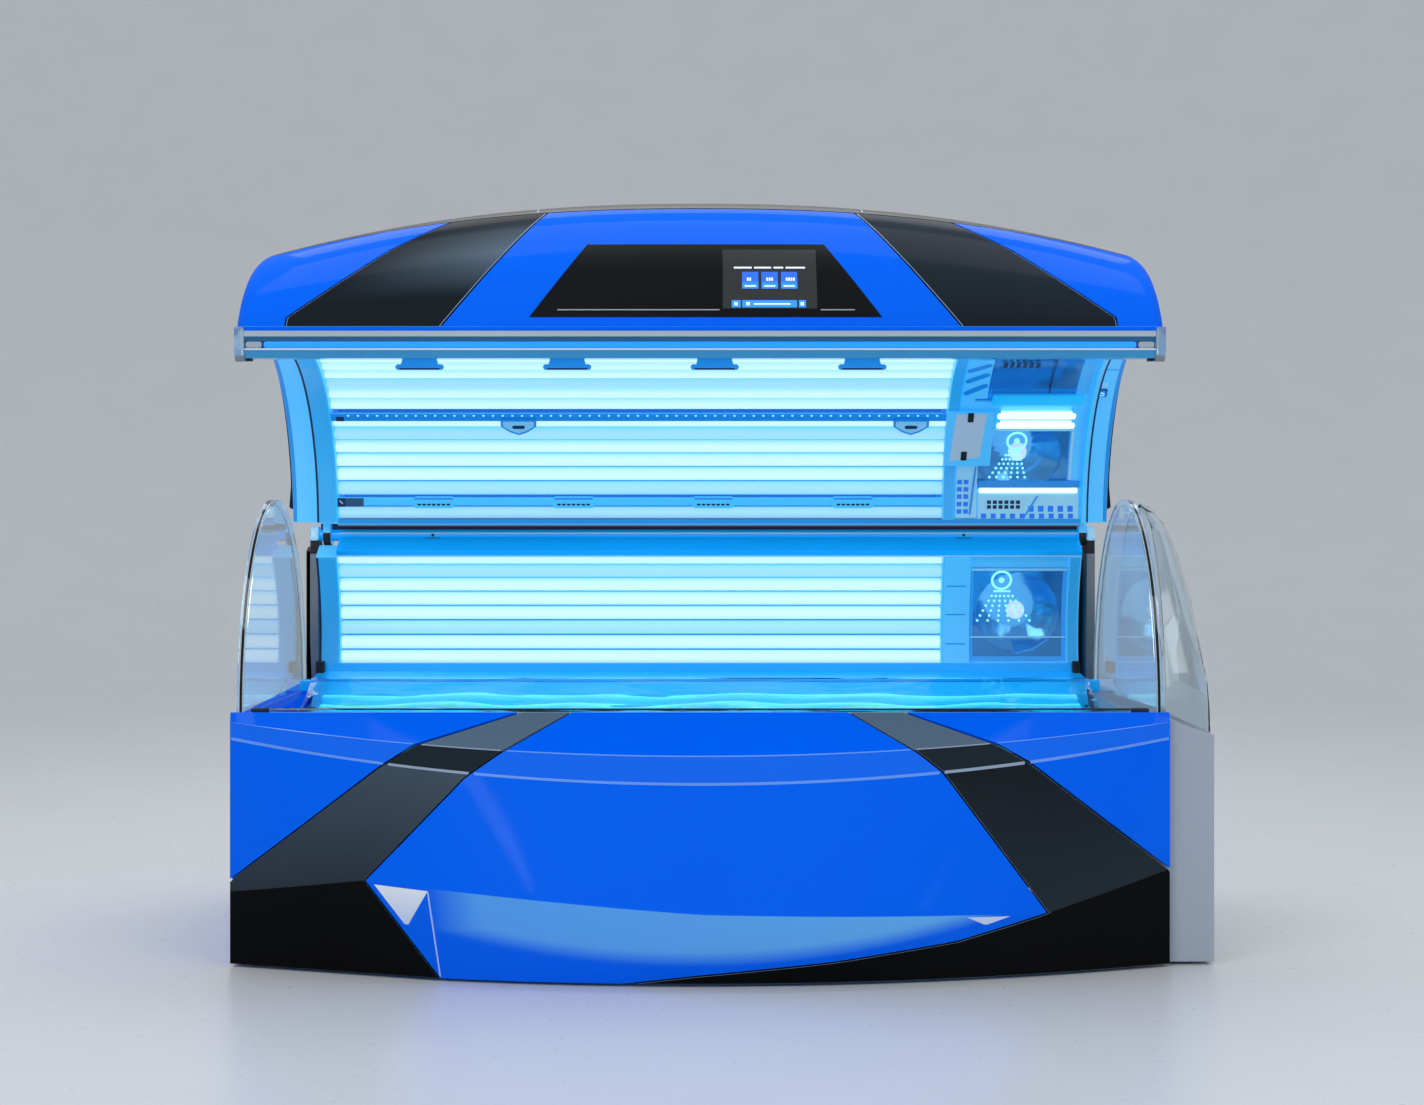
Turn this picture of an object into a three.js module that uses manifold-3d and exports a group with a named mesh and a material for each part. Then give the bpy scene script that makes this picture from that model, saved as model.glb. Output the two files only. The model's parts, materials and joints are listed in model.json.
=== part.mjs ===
// Clamshell tanning bed: a base with a lamp-lit back and a bench, and a lamp-lined canopy on a hinge tube.
// Millimetres, +X towards the head end, +Y to the back, +Z up. The canopy is modelled open.
import * as THREE from "three";
import { mergeVertices } from "three/addons/utils/BufferGeometryUtils.js";
import Module from "manifold-3d";

const wasm = await Module();
wasm.setup();

// Clearances
const FIT = 0.3; // between pieces that touch
const SEAM = 4; // open joint between two cover panels
const RUNNING = 0.4; // round a turning or sliding piece

// Hinge tube, which carries the canopy
const HINGE_Y = 205;
const HINGE_Z = 1037;
const TUBE_R = 16;
const TUBE_SIDES = 24;
const LUG_R = 28;
const LUG_WIDTH = 20;
const LUG_INSET = 12; // from the end plate's outer face to the lug
const BLOCK_WIDTH = 22;
const BLOCK_GAP = 2; // from the end plate to the block
const BLOCK_HEIGHT = 74;

// Lamp tunnels: arcs about a line along X, with radii shared by base and canopy
const CANOPY_BACK_Y = 160; // back of the canopy's pane, which stays put when the radius changes
const CANOPY_ARC_Z = 1055;
const BASE_BACK_Y = 198;
const BASE_ARC_Z = 751;
const PANE_R = 478;
const PANE_T = 4;
const TRIM_T = 8; // trim strips stand this far proud of the pane
const LAMP_D = 38;
const LAMP_SIDES = 8; // flats round a lamp
const LAMP_GAP = 6; // from the pane to the lamps
const LAMP_PITCH = 4.67; // degrees
const REFLECTOR_GAP = 5; // from the lamps to the reflector
const REFLECTOR_T = 3;
const FRAME_T = 11;
const RIB_W = 15;
const CANOPY_START = 2; // degrees from +Y towards +Z
const CANOPY_END = 99;
const BASE_START = -9.5;
const BASE_END = 29;
const RAIL_SPAN = 2.4; // degrees taken by an edge rail
const ARC_STEP = 4; // degrees between the corners of a curved sheet
const ARC_GAP = 0.1; // degrees between pieces that meet edge to edge on an arc
const CANOPY_LAMPS = [
  [5.5, 1], // below the air rail: angle of the first lamp, and how many
  [13.1, 6], // between the air rail and the light strip
  [43.3, 11],
];
const AIR_ANGLE = 9.1;
const LIGHT_ANGLE = 39.9;
const BASE_FIRST_LAMP = -6;
const BASE_LAMPS = 8;

// Lengths along X: the front's half length drives the rest, and the lamps fill what the ends leave
const FRONT_HALF = 1150;
const FOOT_END_GAP = 94; // from the front's end to the canopy's left end plate
const HEAD_END_GAP = 80; // from the front's end to the canopy's right end plate
const HOLDER_W = 14;
const CHEEK_W = 57;
const PARTITION_W = 32;
const SHOULDER_PARTITION_W = 78;
const SHOULDER_FLANGE_W = 34;
const HEAD_W = 348; // head unit, right of the partition
const HEAD_CHEEK_W = 20;
const FLANGE_INSET = 10; // from the cover's end to the canopy's end flanges
const FLANGE_STEP = 42; // from the trim out to the face of the end flanges

// Canopy cover
const CANOPY_INSET = 10; // the cover is this much shorter than the front at each end
const COVER_WALL = 6;
const COVER_BACK_GAP = 130; // from the back of the pane to the back of the cover
const COVER_TAIL_RISE = 67; // from the hinge up to the cover's rear edge
const COVER_RISE = 355; // from the lip to the crest
const COVER_END_W = 124; // blue end panel along the lip
const LIP_ANGLE = 110.1; // degrees round the tunnel
const LIP_SINK = 1.2; // into the tunnel's outer radius
const CREST_Y = -230; // joint between the front panels and the roof
const CREST_DROP = 0.41; // share of the cover's height lost at the ends
const CREST_POWER = 2.3;
const COVER_STATIONS = 14;
const STRIPE_INNER_X = -636; // black stripe along the lip, then where its borders bend on the way up
const STRIPE_INNER_TOP_X = -432;
const STRIPE_INNER_FAR_X = -250;
const STRIPE_BEND_X = -774;
const STRIPE_TOP_X = -640;
const STRIPE_FAR_X = -400;
const STRIPE_FOOT = 44;

// Lip rail
const LIP_HEIGHT = 76;
const LIP_DEPTH = 72;
const BAR_HEIGHT = 28;
const BAR_DEPTH = 13;
const LIP_CAP_W = 24;
const CLIP_W = 118;
const CLIP_NECK_W = 78;
const CLIP_DROP = 26;
const CLIP_T = 5;
const CLIPS = 4;
const CLIP_LEFT_INSET = 290; // from the lamps' ends to the first and last clip
const CLIP_RIGHT_INSET = 253;

// Display on the canopy's front
const DISPLAY_X = 14;
const DISPLAY_BASE_W = 866;
const DISPLAY_TOP_W = 592;
const DISPLAY_LIFT = 24; // above the lip
const DISPLAY_H = 190;
const SCREEN_X0 = 56;
const SCREEN_W = 232;
const SCREEN_LIFT = 21; // above the display's lower edge
const SCREEN_H = 153;

// Fittings inside the canopy
const AIR_SPAN = 3; // degrees
const LIGHT_SPAN = 1.9;
const NOZZLES = 4;
const NOZZLE_LEFT_INSET = 252;
const NOZZLE_RIGHT_INSET = 234;
const NOZZLE_W = 126;
const NOZZLE_H = 30;
const NOZZLE_TAPER = 11;
const FITTING_PROUD = 7; // nozzles and brackets stand this far off their strips
const FITTING_SEAT = 1.5; // from a fitting's flat back to the pane
const BRACKET_LEFT_INSET = 493;
const BRACKET_RIGHT_INSET = 83;
const BRACKET_W = 96;
const BRACKET_H = 50;
const PANEL_W = 128;
const PANEL_H = 172;
const PANEL_T = 18;
const PANEL_ANGLE = 33;
const BUTTON_W = 22;
const BUTTON_INSET = 15; // from the end plate's outer face to the button's middle
const BUTTON_PROUD = 6;
const BUTTON_SEAT = 12;
const BUTTON_TRAVEL = 4;
const BUTTON_ANGLE = 46.5;

// Head and shoulder lamp units
const UNIT_T = 6;
const UNIT_GLASS_T = 5;
const UNIT_EDGE = 30;
const UNIT_LAP = 1.5; // degrees that glass and reflectors reach past a window's edge
const DISH_R = 118;
const DISH_DEPTH = 74;
const DISH_WALL = 3;
const DISH_SIDES = 16;
const BULB_R = 26;
const BULB_L = 58;
const SHORT_TUBE_R = 11;

// Base front: rows run from the rim to the hem, each bowed forward in the middle
const FRONT_Y = -505;
const FRONT_T = 12;
const RIM_Y = -500;
const RIM_Z = 622;
const BROW_REACH = 118; // upper crease: how far it bows forward, and its height in the middle and at the ends
const BROW_Z = 530;
const BROW_END_Z = 599;
const CREASE_REACH = 134;
const CREASE_Z = 468;
const CREASE_END_Z = 562;
const BELLY_REACH = 250;
const HEM_REACH = 212;
const HEM_Z = 8;
const HEM_CORNER_X = -630; // left of this the hem runs straight to the front's end
const FRONT_STATIONS = 14;

// Bench pane: an arc hung between the front rail and the rear rail
const BENCH_SIDE_GAP = 8;
const BENCH_FRONT_Y = -484;
const BENCH_REAR_Y = 80;
const BENCH_REAR_Z = 652;
const BENCH_SAG = 70;
const BENCH_T = 8;
const BENCH_LAMPS = 10;
const BENCH_MARGIN = 8; // degrees from the pane's front edge to the first lamp
const BENCH_LAMP_GAP = 14;
const BENCH_TRAY_T = 4;
const FRONT_RAIL_T = 24;
const FRONT_RAIL_H = 26;

// Chassis, feet and covers
const CHASSIS_Z0 = 62;
const CHASSIS_H = 78;
const CHASSIS_FRONT_Y = -400;
const CHASSIS_REAR_Y = 330;
const BEAM_W = 50;
const FOOT_INSET = 158; // from the bench's end
const FOOT_R = 34;
const FOOT_H = 12;
const STEM_R = 10;
const POST_INSET = 98; // from the bench's end
const BACK_Y = 460;
const BACK_MARGIN = 12; // from the hinge block to the rear cover's end
const BACK_WALL = 6;
const BACK_TOP_Z = 1004;
const END_COVER_W = 84;
const SHELF_Z = 612;
const HOUSING_LAP = 28; // from the front's end back to the housing's sloping edge
const HOUSING_W = 114; // beyond the front's end
const HOUSING_EDGE_Z = 566;
const GLAND_INSET = 226; // from the rear cover's end
const GLAND_R = 18;
const GLAND_L = 30;

// Clear end shields: arches set at a slight angle to the bed's end
const SHIELD_T = 8;
const SHIELD_RIM = 14;
const SHIELD_RIM_T = 16;
const SHIELD_INSET = 20; // from the front's end to the shield's front edge
const SHIELD_TOE = 38; // the rear edge stands this much further in
const SHIELD_FRONT_Y = -486;
const SHIELD_REAR_Y = 146;
const SHIELD_TOP_Z = 1140;
const HOOD_WALL = 5;

// Finishes
const BLUE = { color: 0x0f5cf0, roughness: 0.3, metalness: 0.1 };
const BLACK = { color: 0x15181c, roughness: 0.4, metalness: 0.1 };
const CLEAR = { color: 0xbfe6f5, roughness: 0.05, metalness: 0, transparent: true, opacity: 0.3 };
const WHITE = { color: 0xd9ecf7, roughness: 0.35, metalness: 0.1 };
const GREY = { color: 0xa9b4c2, roughness: 0.45, metalness: 0.1 };
const STEEL = { color: 0x8d949b, roughness: 0.5, metalness: 0.8 };
const MIRROR = { color: 0xdfe9f0, roughness: 0.15, metalness: 1 };
const LAMP = { color: 0xdffcff, roughness: 0.4, metalness: 0, emissive: 0x7fe9ff };
const GLOW = { color: 0x1e78ff, roughness: 0.4, metalness: 0, emissive: 0x1e78ff };
const ALUMINIUM = { color: 0xc4d3de, roughness: 0.3, metalness: 0.9 };

const AXIS_X = new THREE.Vector3(1, 0, 0);
const AXIS_Y = new THREE.Vector3(0, 1, 0);
const AXIS_Z = new THREE.Vector3(0, 0, 1);
const rad = THREE.MathUtils.degToRad;

// Solids from three.js geometry

function solid(geometry) {
  const bare = geometry.clone();
  bare.deleteAttribute("normal");
  bare.deleteAttribute("uv");
  const merged = mergeVertices(bare, 1e-4);
  return new wasm.Manifold(
    new wasm.Mesh({
      numProp: 3,
      vertProperties: merged.attributes.position.array,
      triVerts: new Uint32Array(merged.index.array),
    }),
  );
}

function piece(name, body, finish) {
  const { vertProperties, triVerts } = body.getMesh();
  const geometry = new THREE.BufferGeometry();
  geometry.setAttribute("position", new THREE.BufferAttribute(vertProperties, 3));
  geometry.setIndex(new THREE.BufferAttribute(triVerts, 1));
  geometry.computeVertexNormals();
  const mesh = new THREE.Mesh(geometry, new THREE.MeshStandardMaterial(finish));
  mesh.name = name;
  return mesh;
}

function extrude(points, depth, matrix) {
  const shape = new THREE.Shape(points.map(([u, v]) => new THREE.Vector2(u, v)));
  const geometry = new THREE.ExtrudeGeometry(shape, { depth, bevelEnabled: false });
  return solid(geometry.applyMatrix4(matrix));
}

// An outline in (y, z), swept from x0 to x1.
function alongX(points, x0, x1) {
  const turn = new THREE.Matrix4().makeBasis(AXIS_Y, AXIS_Z, AXIS_X).setPosition(x0, 0, 0);
  return extrude(points, x1 - x0, turn);
}

// An outline in (x, z), swept from y0 to y1.
function alongY(points, y0, y1) {
  const back = AXIS_Y.clone().negate();
  const turn = new THREE.Matrix4().makeBasis(AXIS_X, AXIS_Z, back).setPosition(0, y1, 0);
  return extrude(points, y1 - y0, turn);
}

function box(x0, x1, y0, y1, z0, z1) {
  const geometry = new THREE.BoxGeometry(x1 - x0, y1 - y0, z1 - z0);
  geometry.translate((x0 + x1) / 2, (y0 + y1) / 2, (z0 + z1) / 2);
  return solid(geometry);
}

function tubeX(y, z, radius, x0, x1, sides) {
  const geometry = new THREE.CylinderGeometry(radius, radius, x1 - x0, sides);
  geometry.rotateZ(Math.PI / 2);
  geometry.translate((x0 + x1) / 2, y, z);
  return solid(geometry);
}

// A turned profile of [radius, height] points, standing on a point with its axis along a direction.
function turned(profile, sides, at, direction) {
  const points = profile.map(([r, h]) => new THREE.Vector2(r, h));
  const geometry = new THREE.LatheGeometry(points, sides);
  const turn = new THREE.Quaternion().setFromUnitVectors(AXIS_Y, direction);
  geometry.applyQuaternion(turn);
  geometry.translate(at.x, at.y, at.z);
  return solid(geometry);
}

// A closed skin through like rings that run counter-clockwise in (y, z), with X growing from ring to ring.
function loft(rings) {
  const count = rings[0].points.length;
  const vertices = rings.flatMap(({ x, points }) => points.flatMap(([y, z]) => [x, y, z]));
  const index = [];
  for (let k = 0; k + 1 < rings.length; k++) {
    for (let i = 0; i < count; i++) {
      const a = k * count + i;
      const b = k * count + ((i + 1) % count);
      index.push(a, b, b + count, a, b + count, a + count);
    }
  }
  const last = (rings.length - 1) * count;
  const capOf = (ring) => {
    const contour = ring.points.map(([y, z]) => new THREE.Vector2(y, z));
    return THREE.ShapeUtils.triangulateShape(contour, []);
  };
  for (const [a, b, c] of capOf(rings[0])) index.push(a, c, b);
  for (const [a, b, c] of capOf(rings.at(-1))) index.push(last + a, last + b, last + c);
  const geometry = new THREE.BufferGeometry();
  geometry.setAttribute("position", new THREE.Float32BufferAttribute(vertices, 3));
  geometry.setIndex(index);
  return solid(geometry);
}

function join(parts) {
  return parts.reduce((whole, part) => whole.add(part));
}

// Outlines

function onArc(arc, radius, degrees) {
  return [arc.y + radius * Math.cos(rad(degrees)), arc.z + radius * Math.sin(rad(degrees))];
}

// Part of a ring between two radii and two angles, about an arc's centre. Corners lie on one grid of
// angles, so that the flats of nested rings are parallel.
function ringPart(arc, r0, r1, a0, a1) {
  const angles = [a0];
  for (let a = Math.floor(a0 / ARC_STEP + 1) * ARC_STEP; a < a1; a += ARC_STEP) angles.push(a);
  angles.push(a1);
  const inner = angles.map((a) => onArc(arc, r0, a));
  const outer = angles.map((a) => onArc(arc, r1, a)).reverse();
  return [...inner, ...outer];
}

function band(arc, r0, r1, a0, a1, x0, x1) {
  return alongX(ringPart(arc, r0, r1, a0, a1), x0, x1);
}

// A round cutter whose flats, not its corners, lie at the radius.
function boreX(y, z, radius, x0, x1, sides) {
  return tubeX(y, z, radius / Math.cos(Math.PI / sides), x0, x1, sides);
}

// An open line moved sideways, to its left for a positive distance, with mitred corners.
function offsetLine(points, distance) {
  const normals = points.slice(1).map(([u, v], i) => {
    const length = Math.hypot(u - points[i][0], v - points[i][1]);
    return [-(v - points[i][1]) / length, (u - points[i][0]) / length];
  });
  return points.map(([u, v], i) => {
    const a = normals[Math.max(0, i - 1)];
    const b = normals[Math.min(normals.length - 1, i)];
    const scale = distance / (1 + a[0] * b[0] + a[1] * b[1]);
    return [u + (a[0] + b[0]) * scale, v + (a[1] + b[1]) * scale];
  });
}

// Radii that follow from the lamps
const GLASS_R = PANE_R + PANE_T;
const TRIM_R = PANE_R - TRIM_T;
const LAMP_R = GLASS_R + LAMP_GAP + LAMP_D / 2;
const REFLECTOR_R = LAMP_R + LAMP_D / 2 + REFLECTOR_GAP;
const SHEET_R = REFLECTOR_R + REFLECTOR_T;
const FRAME_R = SHEET_R + FIT;
const OUTER_R = FRAME_R + FRAME_T;
const COVER_R = OUTER_R + FIT;
const FLANGE_R = TRIM_R + FLANGE_STEP;
const CANOPY_ARC = { y: CANOPY_BACK_Y - PANE_R, z: CANOPY_ARC_Z };
const BASE_ARC = { y: BASE_BACK_Y - PANE_R, z: BASE_ARC_Z };
const [LIP_Y, LIP_Z] = onArc(CANOPY_ARC, OUTER_R - LIP_SINK, LIP_ANGLE);
const COVER_DEPTH = CANOPY_BACK_Y + COVER_BACK_GAP - LIP_Y;
const COVER_FALL = LIP_Z - HINGE_Z - COVER_TAIL_RISE;
const DISPLAY_Z0 = LIP_Z + DISPLAY_LIFT;
const DISPLAY_Z1 = DISPLAY_Z0 + DISPLAY_H;
const SCREEN_X1 = SCREEN_X0 + SCREEN_W;
const SCREEN_Z0 = DISPLAY_Z0 + SCREEN_LIFT;
const SCREEN_Z1 = SCREEN_Z0 + SCREEN_H;

// Stations along X, from both ends of the front inwards to the lamps
const CHEEK_X0 = FOOT_END_GAP - FRONT_HALF;
const CHEEK_X1 = CHEEK_X0 + CHEEK_W;
const BANK_X0 = CHEEK_X1 + FIT;
const LAMP_X0 = BANK_X0 + HOLDER_W;
const HEAD_CHEEK_X1 = FRONT_HALF - HEAD_END_GAP;
const HEAD_CHEEK_X0 = HEAD_CHEEK_X1 - HEAD_CHEEK_W;
const HEAD_X1 = HEAD_CHEEK_X0 - FIT;
const PARTITION_X1 = HEAD_X1 - HEAD_W - FIT;
const PARTITION_X0 = PARTITION_X1 - PARTITION_W;
const BANK_X1 = PARTITION_X0 - FIT;
const LAMP_X1 = BANK_X1 - HOLDER_W;
const CANOPY_HALF = FRONT_HALF - CANOPY_INSET;
const FLANGE_END = CANOPY_HALF - FLANGE_INSET;
const BENCH_HALF = FRONT_HALF - END_COVER_W - BENCH_SIDE_GAP;
const END_INNER = FRONT_HALF - END_COVER_W;
const BACK_HALF = HEAD_CHEEK_X1 + BLOCK_GAP + BLOCK_WIDTH + BACK_MARGIN;
const HOUSING_X0 = FRONT_HALF - HOUSING_LAP;
const HOUSING_X1 = FRONT_HALF + HOUSING_W;
const SHIELD_FRONT_X = FRONT_HALF - SHIELD_INSET;
const SHIELD_REAR_X = SHIELD_FRONT_X - SHIELD_TOE;
const FOOT_X = BENCH_HALF - FOOT_INSET;
const POST_X = [POST_INSET - BENCH_HALF, 0, BENCH_HALF - POST_INSET];
const GLAND_X = GLAND_INSET - BACK_HALF;
const BRACKET_X = [LAMP_X0 + BRACKET_LEFT_INSET, LAMP_X1 - BRACKET_RIGHT_INSET];
const CLIP_X = alongLamps(CLIPS, CLIP_LEFT_INSET, CLIP_RIGHT_INSET);
const NOZZLE_X = alongLamps(NOZZLES, NOZZLE_LEFT_INSET, NOZZLE_RIGHT_INSET);

// Even places along the lamps, between insets from their two ends.
function alongLamps(count, left, right) {
  const first = LAMP_X0 + left;
  const last = LAMP_X1 - right;
  return Array.from({ length: count }, (_, k) => first + ((last - first) * k) / (count - 1));
}

const lampAngles = (first, count) => Array.from({ length: count }, (_, k) => first + LAMP_PITCH * k);
const radial = (degrees) => new THREE.Vector3(0, Math.cos(rad(degrees)), Math.sin(rad(degrees)));

// Lamps seated between two holder strips, one at each end.
function lampBank(arc, angles, radius) {
  const holderIn = radius - LAMP_D / 2 + LAMP_GAP;
  const holderOut = radius + LAMP_D / 2;
  const first = Math.min(...angles) - LAMP_PITCH / 3;
  const last = Math.max(...angles) + LAMP_PITCH / 3;
  const holders = [
    band(arc, holderIn, holderOut, first, last, BANK_X0, LAMP_X0),
    band(arc, holderIn, holderOut, first, last, LAMP_X1, BANK_X1),
  ];
  const lamps = angles.map((angle) => {
    const [y, z] = onArc(arc, radius, angle);
    return tubeX(y, z, LAMP_D / 2, LAMP_X0 - HOLDER_W / 2, LAMP_X1 + HOLDER_W / 2, LAMP_SIDES);
  });
  return join([...holders, ...lamps]);
}

// A glazed unit with a lamp in a dish, on an arc: a moulded frame with thick ribs at the stations given,
// its glass, the dish behind it and the bulb.
function lampUnit(prefix, arc, { x0, x1, glassX0, glassX1, a0, a1, windows, ribs }) {
  const frameR = GLASS_R;
  let frame = band(arc, frameR, frameR + UNIT_T, a0, a1, x0, x1);
  for (const [w0, w1] of windows) {
    const inset = UNIT_EDGE / 3;
    const cut = band(arc, frameR - 1, frameR + UNIT_T + 1, w0, w1, glassX0 + inset, glassX1 - inset);
    frame = frame.subtract(cut);
  }
  const thick = ribs.map(([r0, r1]) => band(arc, TRIM_R, FRAME_R - FIT, a0, a1, r0, r1));
  frame = join([frame, ...thick]);
  const [w0, w1] = windows[0];
  const glassR = frameR - FIT - UNIT_GLASS_T;
  const glass = band(arc, glassR, frameR - FIT, w0 - UNIT_LAP, w1 + UNIT_LAP, glassX0, glassX1);
  const middle = (w0 + w1) / 2;
  const mouth = frameR + UNIT_T + FIT;
  const sagitta = mouth - Math.sqrt(mouth ** 2 - DISH_R ** 2);
  const [y, z] = onArc(arc, mouth + DISH_DEPTH - sagitta / 2, middle);
  const at = new THREE.Vector3((glassX0 + glassX1) / 2, y, z);
  const inward = radial(middle).negate();
  const floor = DISH_WALL;
  const neck = BULB_R * 0.6;
  const collar = DISH_DEPTH + sagitta;
  const dishProfile = [
    [0, 0],
    [neck, 0],
    [DISH_R * 0.7, DISH_DEPTH * 0.34],
    [DISH_R, DISH_DEPTH - sagitta],
    [DISH_R, collar],
    [DISH_R - DISH_WALL, collar],
    [DISH_R - DISH_WALL, DISH_DEPTH - sagitta],
    [DISH_R * 0.7 - DISH_WALL, DISH_DEPTH * 0.34 + DISH_WALL],
    [neck, floor],
    [0, floor],
  ];
  const mouthProfile = [
    [0, 0],
    [DISH_R - DISH_WALL / 2, 0],
    [DISH_R - DISH_WALL / 2, collar],
    [0, collar],
  ];
  const dishSpan = THREE.MathUtils.radToDeg(Math.asin(DISH_R / mouth));
  const reach = Math.max((w1 - w0) / 2, dishSpan) + UNIT_LAP;
  const sheet = (r0, r1) => band(arc, r0, r1, middle - reach, middle + reach, glassX0, glassX1);
  const flange = sheet(mouth, mouth + DISH_WALL).subtract(turned(mouthProfile, DISH_SIDES, at, inward));
  const dish = turned(dishProfile, DISH_SIDES, at, inward).subtract(sheet(mouth - collar, mouth));
  const stand = at.clone().addScaledVector(inward, floor + FIT);
  const bulbProfile = [
    [0, 0],
    [neck * 0.8, 0],
    [neck * 0.8, BULB_L * 0.25],
    [BULB_R, BULB_L * 0.5],
    [BULB_R * 0.9, BULB_L * 0.8],
    [BULB_R * 0.5, BULB_L * 0.96],
    [0, BULB_L],
  ];
  return [
    piece(prefix + "_frame", frame, WHITE),
    piece(prefix + "_glass", glass, CLEAR),
    piece(prefix + "_reflector", flange.add(dish), MIRROR),
    piece(prefix + "_lamp", turned(bulbProfile, 12, stand, inward), LAMP),
  ];
}

// Base front cover: a faceted, bowed shell cut into five panels

const bow = (x) => 1 - (x / FRONT_HALF) ** 2;
const swell = (reach) => (x) => FRONT_Y - reach * bow(x);
const lift = (middle, ends) => (x) => middle + (ends - middle) * (1 - bow(x));
const BELLY = [
  [-FRONT_HALF, 184],
  [-800, 236],
  [0, 178],
  [832, 156],
  [FRONT_HALF, 240],
];

// The belly crease is higher at the left than at the right, so it follows a line of its own.
function bellyZ(x) {
  const k = Math.max(1, BELLY.findIndex(([at], i) => i > 0 && at >= x));
  const [x0, z0] = BELLY[k - 1];
  const [x1, z1] = BELLY[k];
  return z0 + ((z1 - z0) * (x - x0)) / (x1 - x0);
}

// The hem bows like the rows above it, up to a corner near its left end.
function hemY(x) {
  const bowed = swell(HEM_REACH);
  if (x >= HEM_CORNER_X) return bowed(x);
  const share = (x - HEM_CORNER_X) / (-FRONT_HALF - HEM_CORNER_X);
  const corner = bowed(HEM_CORNER_X);
  return corner + (FRONT_Y - corner) * share;
}

const FRONT_ROWS = [
  { y: () => RIM_Y, z: () => RIM_Z },
  { y: swell(BROW_REACH), z: lift(BROW_Z, BROW_END_Z) },
  { y: swell(CREASE_REACH), z: lift(CREASE_Z, CREASE_END_Z) },
  { y: swell(BELLY_REACH), z: bellyZ },
  { y: hemY, z: () => HEM_Z },
];

function frontShell() {
  const even = Array.from({ length: FRONT_STATIONS + 1 }, (_, i) => {
    return FRONT_HALF * ((2 * i) / FRONT_STATIONS - 1);
  });
  const corners = [HEM_CORNER_X, ...BELLY.map(([x]) => x)].filter((x) => !even.includes(x));
  const stations = [...even, ...corners].sort((a, b) => a - b);
  const rings = stations.map((x) => {
    const face = FRONT_ROWS.map((row) => [row.y(x), row.z(x)]);
    const back = face.map(([y, z]) => [y + FRONT_T, z]).reverse();
    return { x, points: [...face, ...back] };
  });
  return loft(rings);
}

// Joints between the panels, drawn in (x, z) from above the rim to below the hem.
const ABOVE = RIM_Z + 20;
const BELOW = -20;
const BEYOND = FRONT_HALF + 60;
const JOINT_END = 10; // last corner of the outer joints, from the front's end
const LEFT_OUTER = [
  [-376, ABOVE],
  [-441, RIM_Z],
  [-690, 552],
  [-775, 498],
  [JOINT_END - FRONT_HALF, 221],
  [-BEYOND, 168],
];
const LEFT_INNER = [
  [-276, ABOVE],
  [-316, RIM_Z],
  [-476, 539],
  [-562, 480],
  [-800, 236],
  [-612, 0],
  [-596, BELOW],
];
const RIGHT_INNER = [
  [328, ABOVE],
  [365, RIM_Z],
  [520, 539],
  [583, 490],
  [832, 156],
  [607, 98],
  [317, 58],
  [0, 28],
  [-235, 0],
  [-400, BELOW],
];
const RIGHT_OUTER = [
  [438, ABOVE],
  [502, RIM_Z],
  [719, 553],
  [798, 508],
  [FRONT_HALF - JOINT_END, 246],
  [BEYOND, 192],
];

function frontPanels() {
  const shell = frontShell();
  const half = SEAM / 2;
  const left = (line) => offsetLine(line, half);
  const right = (line) => offsetLine(line, -half);
  const cut = (outline) => shell.intersect(alongY(outline, -2 * FRONT_HALF, 0));
  const cornerLeft = [...right(LEFT_OUTER), [-BEYOND, ABOVE]];
  const stripeLeft = [...left(LEFT_OUTER), [-BEYOND, BELOW], ...right(LEFT_INNER).reverse()];
  const centre = [...left(LEFT_INNER), ...right(RIGHT_INNER).reverse()];
  const stripeRight = [...left(RIGHT_INNER), [BEYOND, BELOW], ...right(RIGHT_OUTER).reverse()];
  const cornerRight = [...left(RIGHT_OUTER), [BEYOND, ABOVE]];
  return [
    piece("front_center_panel", cut(centre), BLUE),
    piece("front_stripe_left", cut(stripeLeft), BLACK),
    piece("front_stripe_right", cut(stripeRight), BLACK),
    piece("front_corner_left", cut(cornerLeft), BLUE),
    piece("front_corner_right", cut(cornerRight), BLUE),
  ];
}

// Canopy cover: a domed shell over the lamps, cut into front panels and a roof

// Shares of the cover's depth, and of its rise above the lip or its fall below it.
const COVER_SHAPE = [
  [0, 0],
  [0.034, 0.208],
  [0.107, 0.504],
  [0.233, 0.786],
  [0.396, 0.955],
  [0.585, 1],
  [0.786, 0.885],
  [0.931, 0.575],
  [0.994, 0.096],
  [1, -0.359],
  [0.965, -0.749],
  [0.913, -1],
];
const COVER_PROFILE = COVER_SHAPE.map(([back, up]) => {
  return [LIP_Y + back * COVER_DEPTH, LIP_Z + up * (up > 0 ? COVER_RISE : COVER_FALL)];
});

function coverProfile(x) {
  const height = 1 - CREST_DROP * (Math.abs(x) / CANOPY_HALF) ** CREST_POWER;
  return COVER_PROFILE.map(([y, z]) => [y, z > LIP_Z ? LIP_Z + (z - LIP_Z) * height : z]);
}

function coverShell() {
  const ringAt = (x, profile) => ({ x, points: [...profile].reverse() });
  const stations = Array.from({ length: COVER_STATIONS + 1 }, (_, i) => (2 * i) / COVER_STATIONS - 1);
  const outer = loft(stations.map((u) => ringAt(CANOPY_HALF * u, coverProfile(CANOPY_HALF * u))));
  const innerHalf = CANOPY_HALF - COVER_WALL;
  const inner = loft(
    stations.map((u) => {
      const line = offsetLine(coverProfile(CANOPY_HALF * u), -COVER_WALL);
      const [y0, z0] = line[0];
      const [y1, z1] = line.at(-1);
      const open = [[y0, z0 - 60], ...line, [y1 - 20, z1 - 60]];
      return ringAt(innerHalf * u, open);
    }),
  );
  const tunnel = boreX(CANOPY_ARC.y, CANOPY_ARC.z, COVER_R, -BEYOND, BEYOND, 72);
  return outer.subtract(inner).subtract(tunnel);
}

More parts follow.
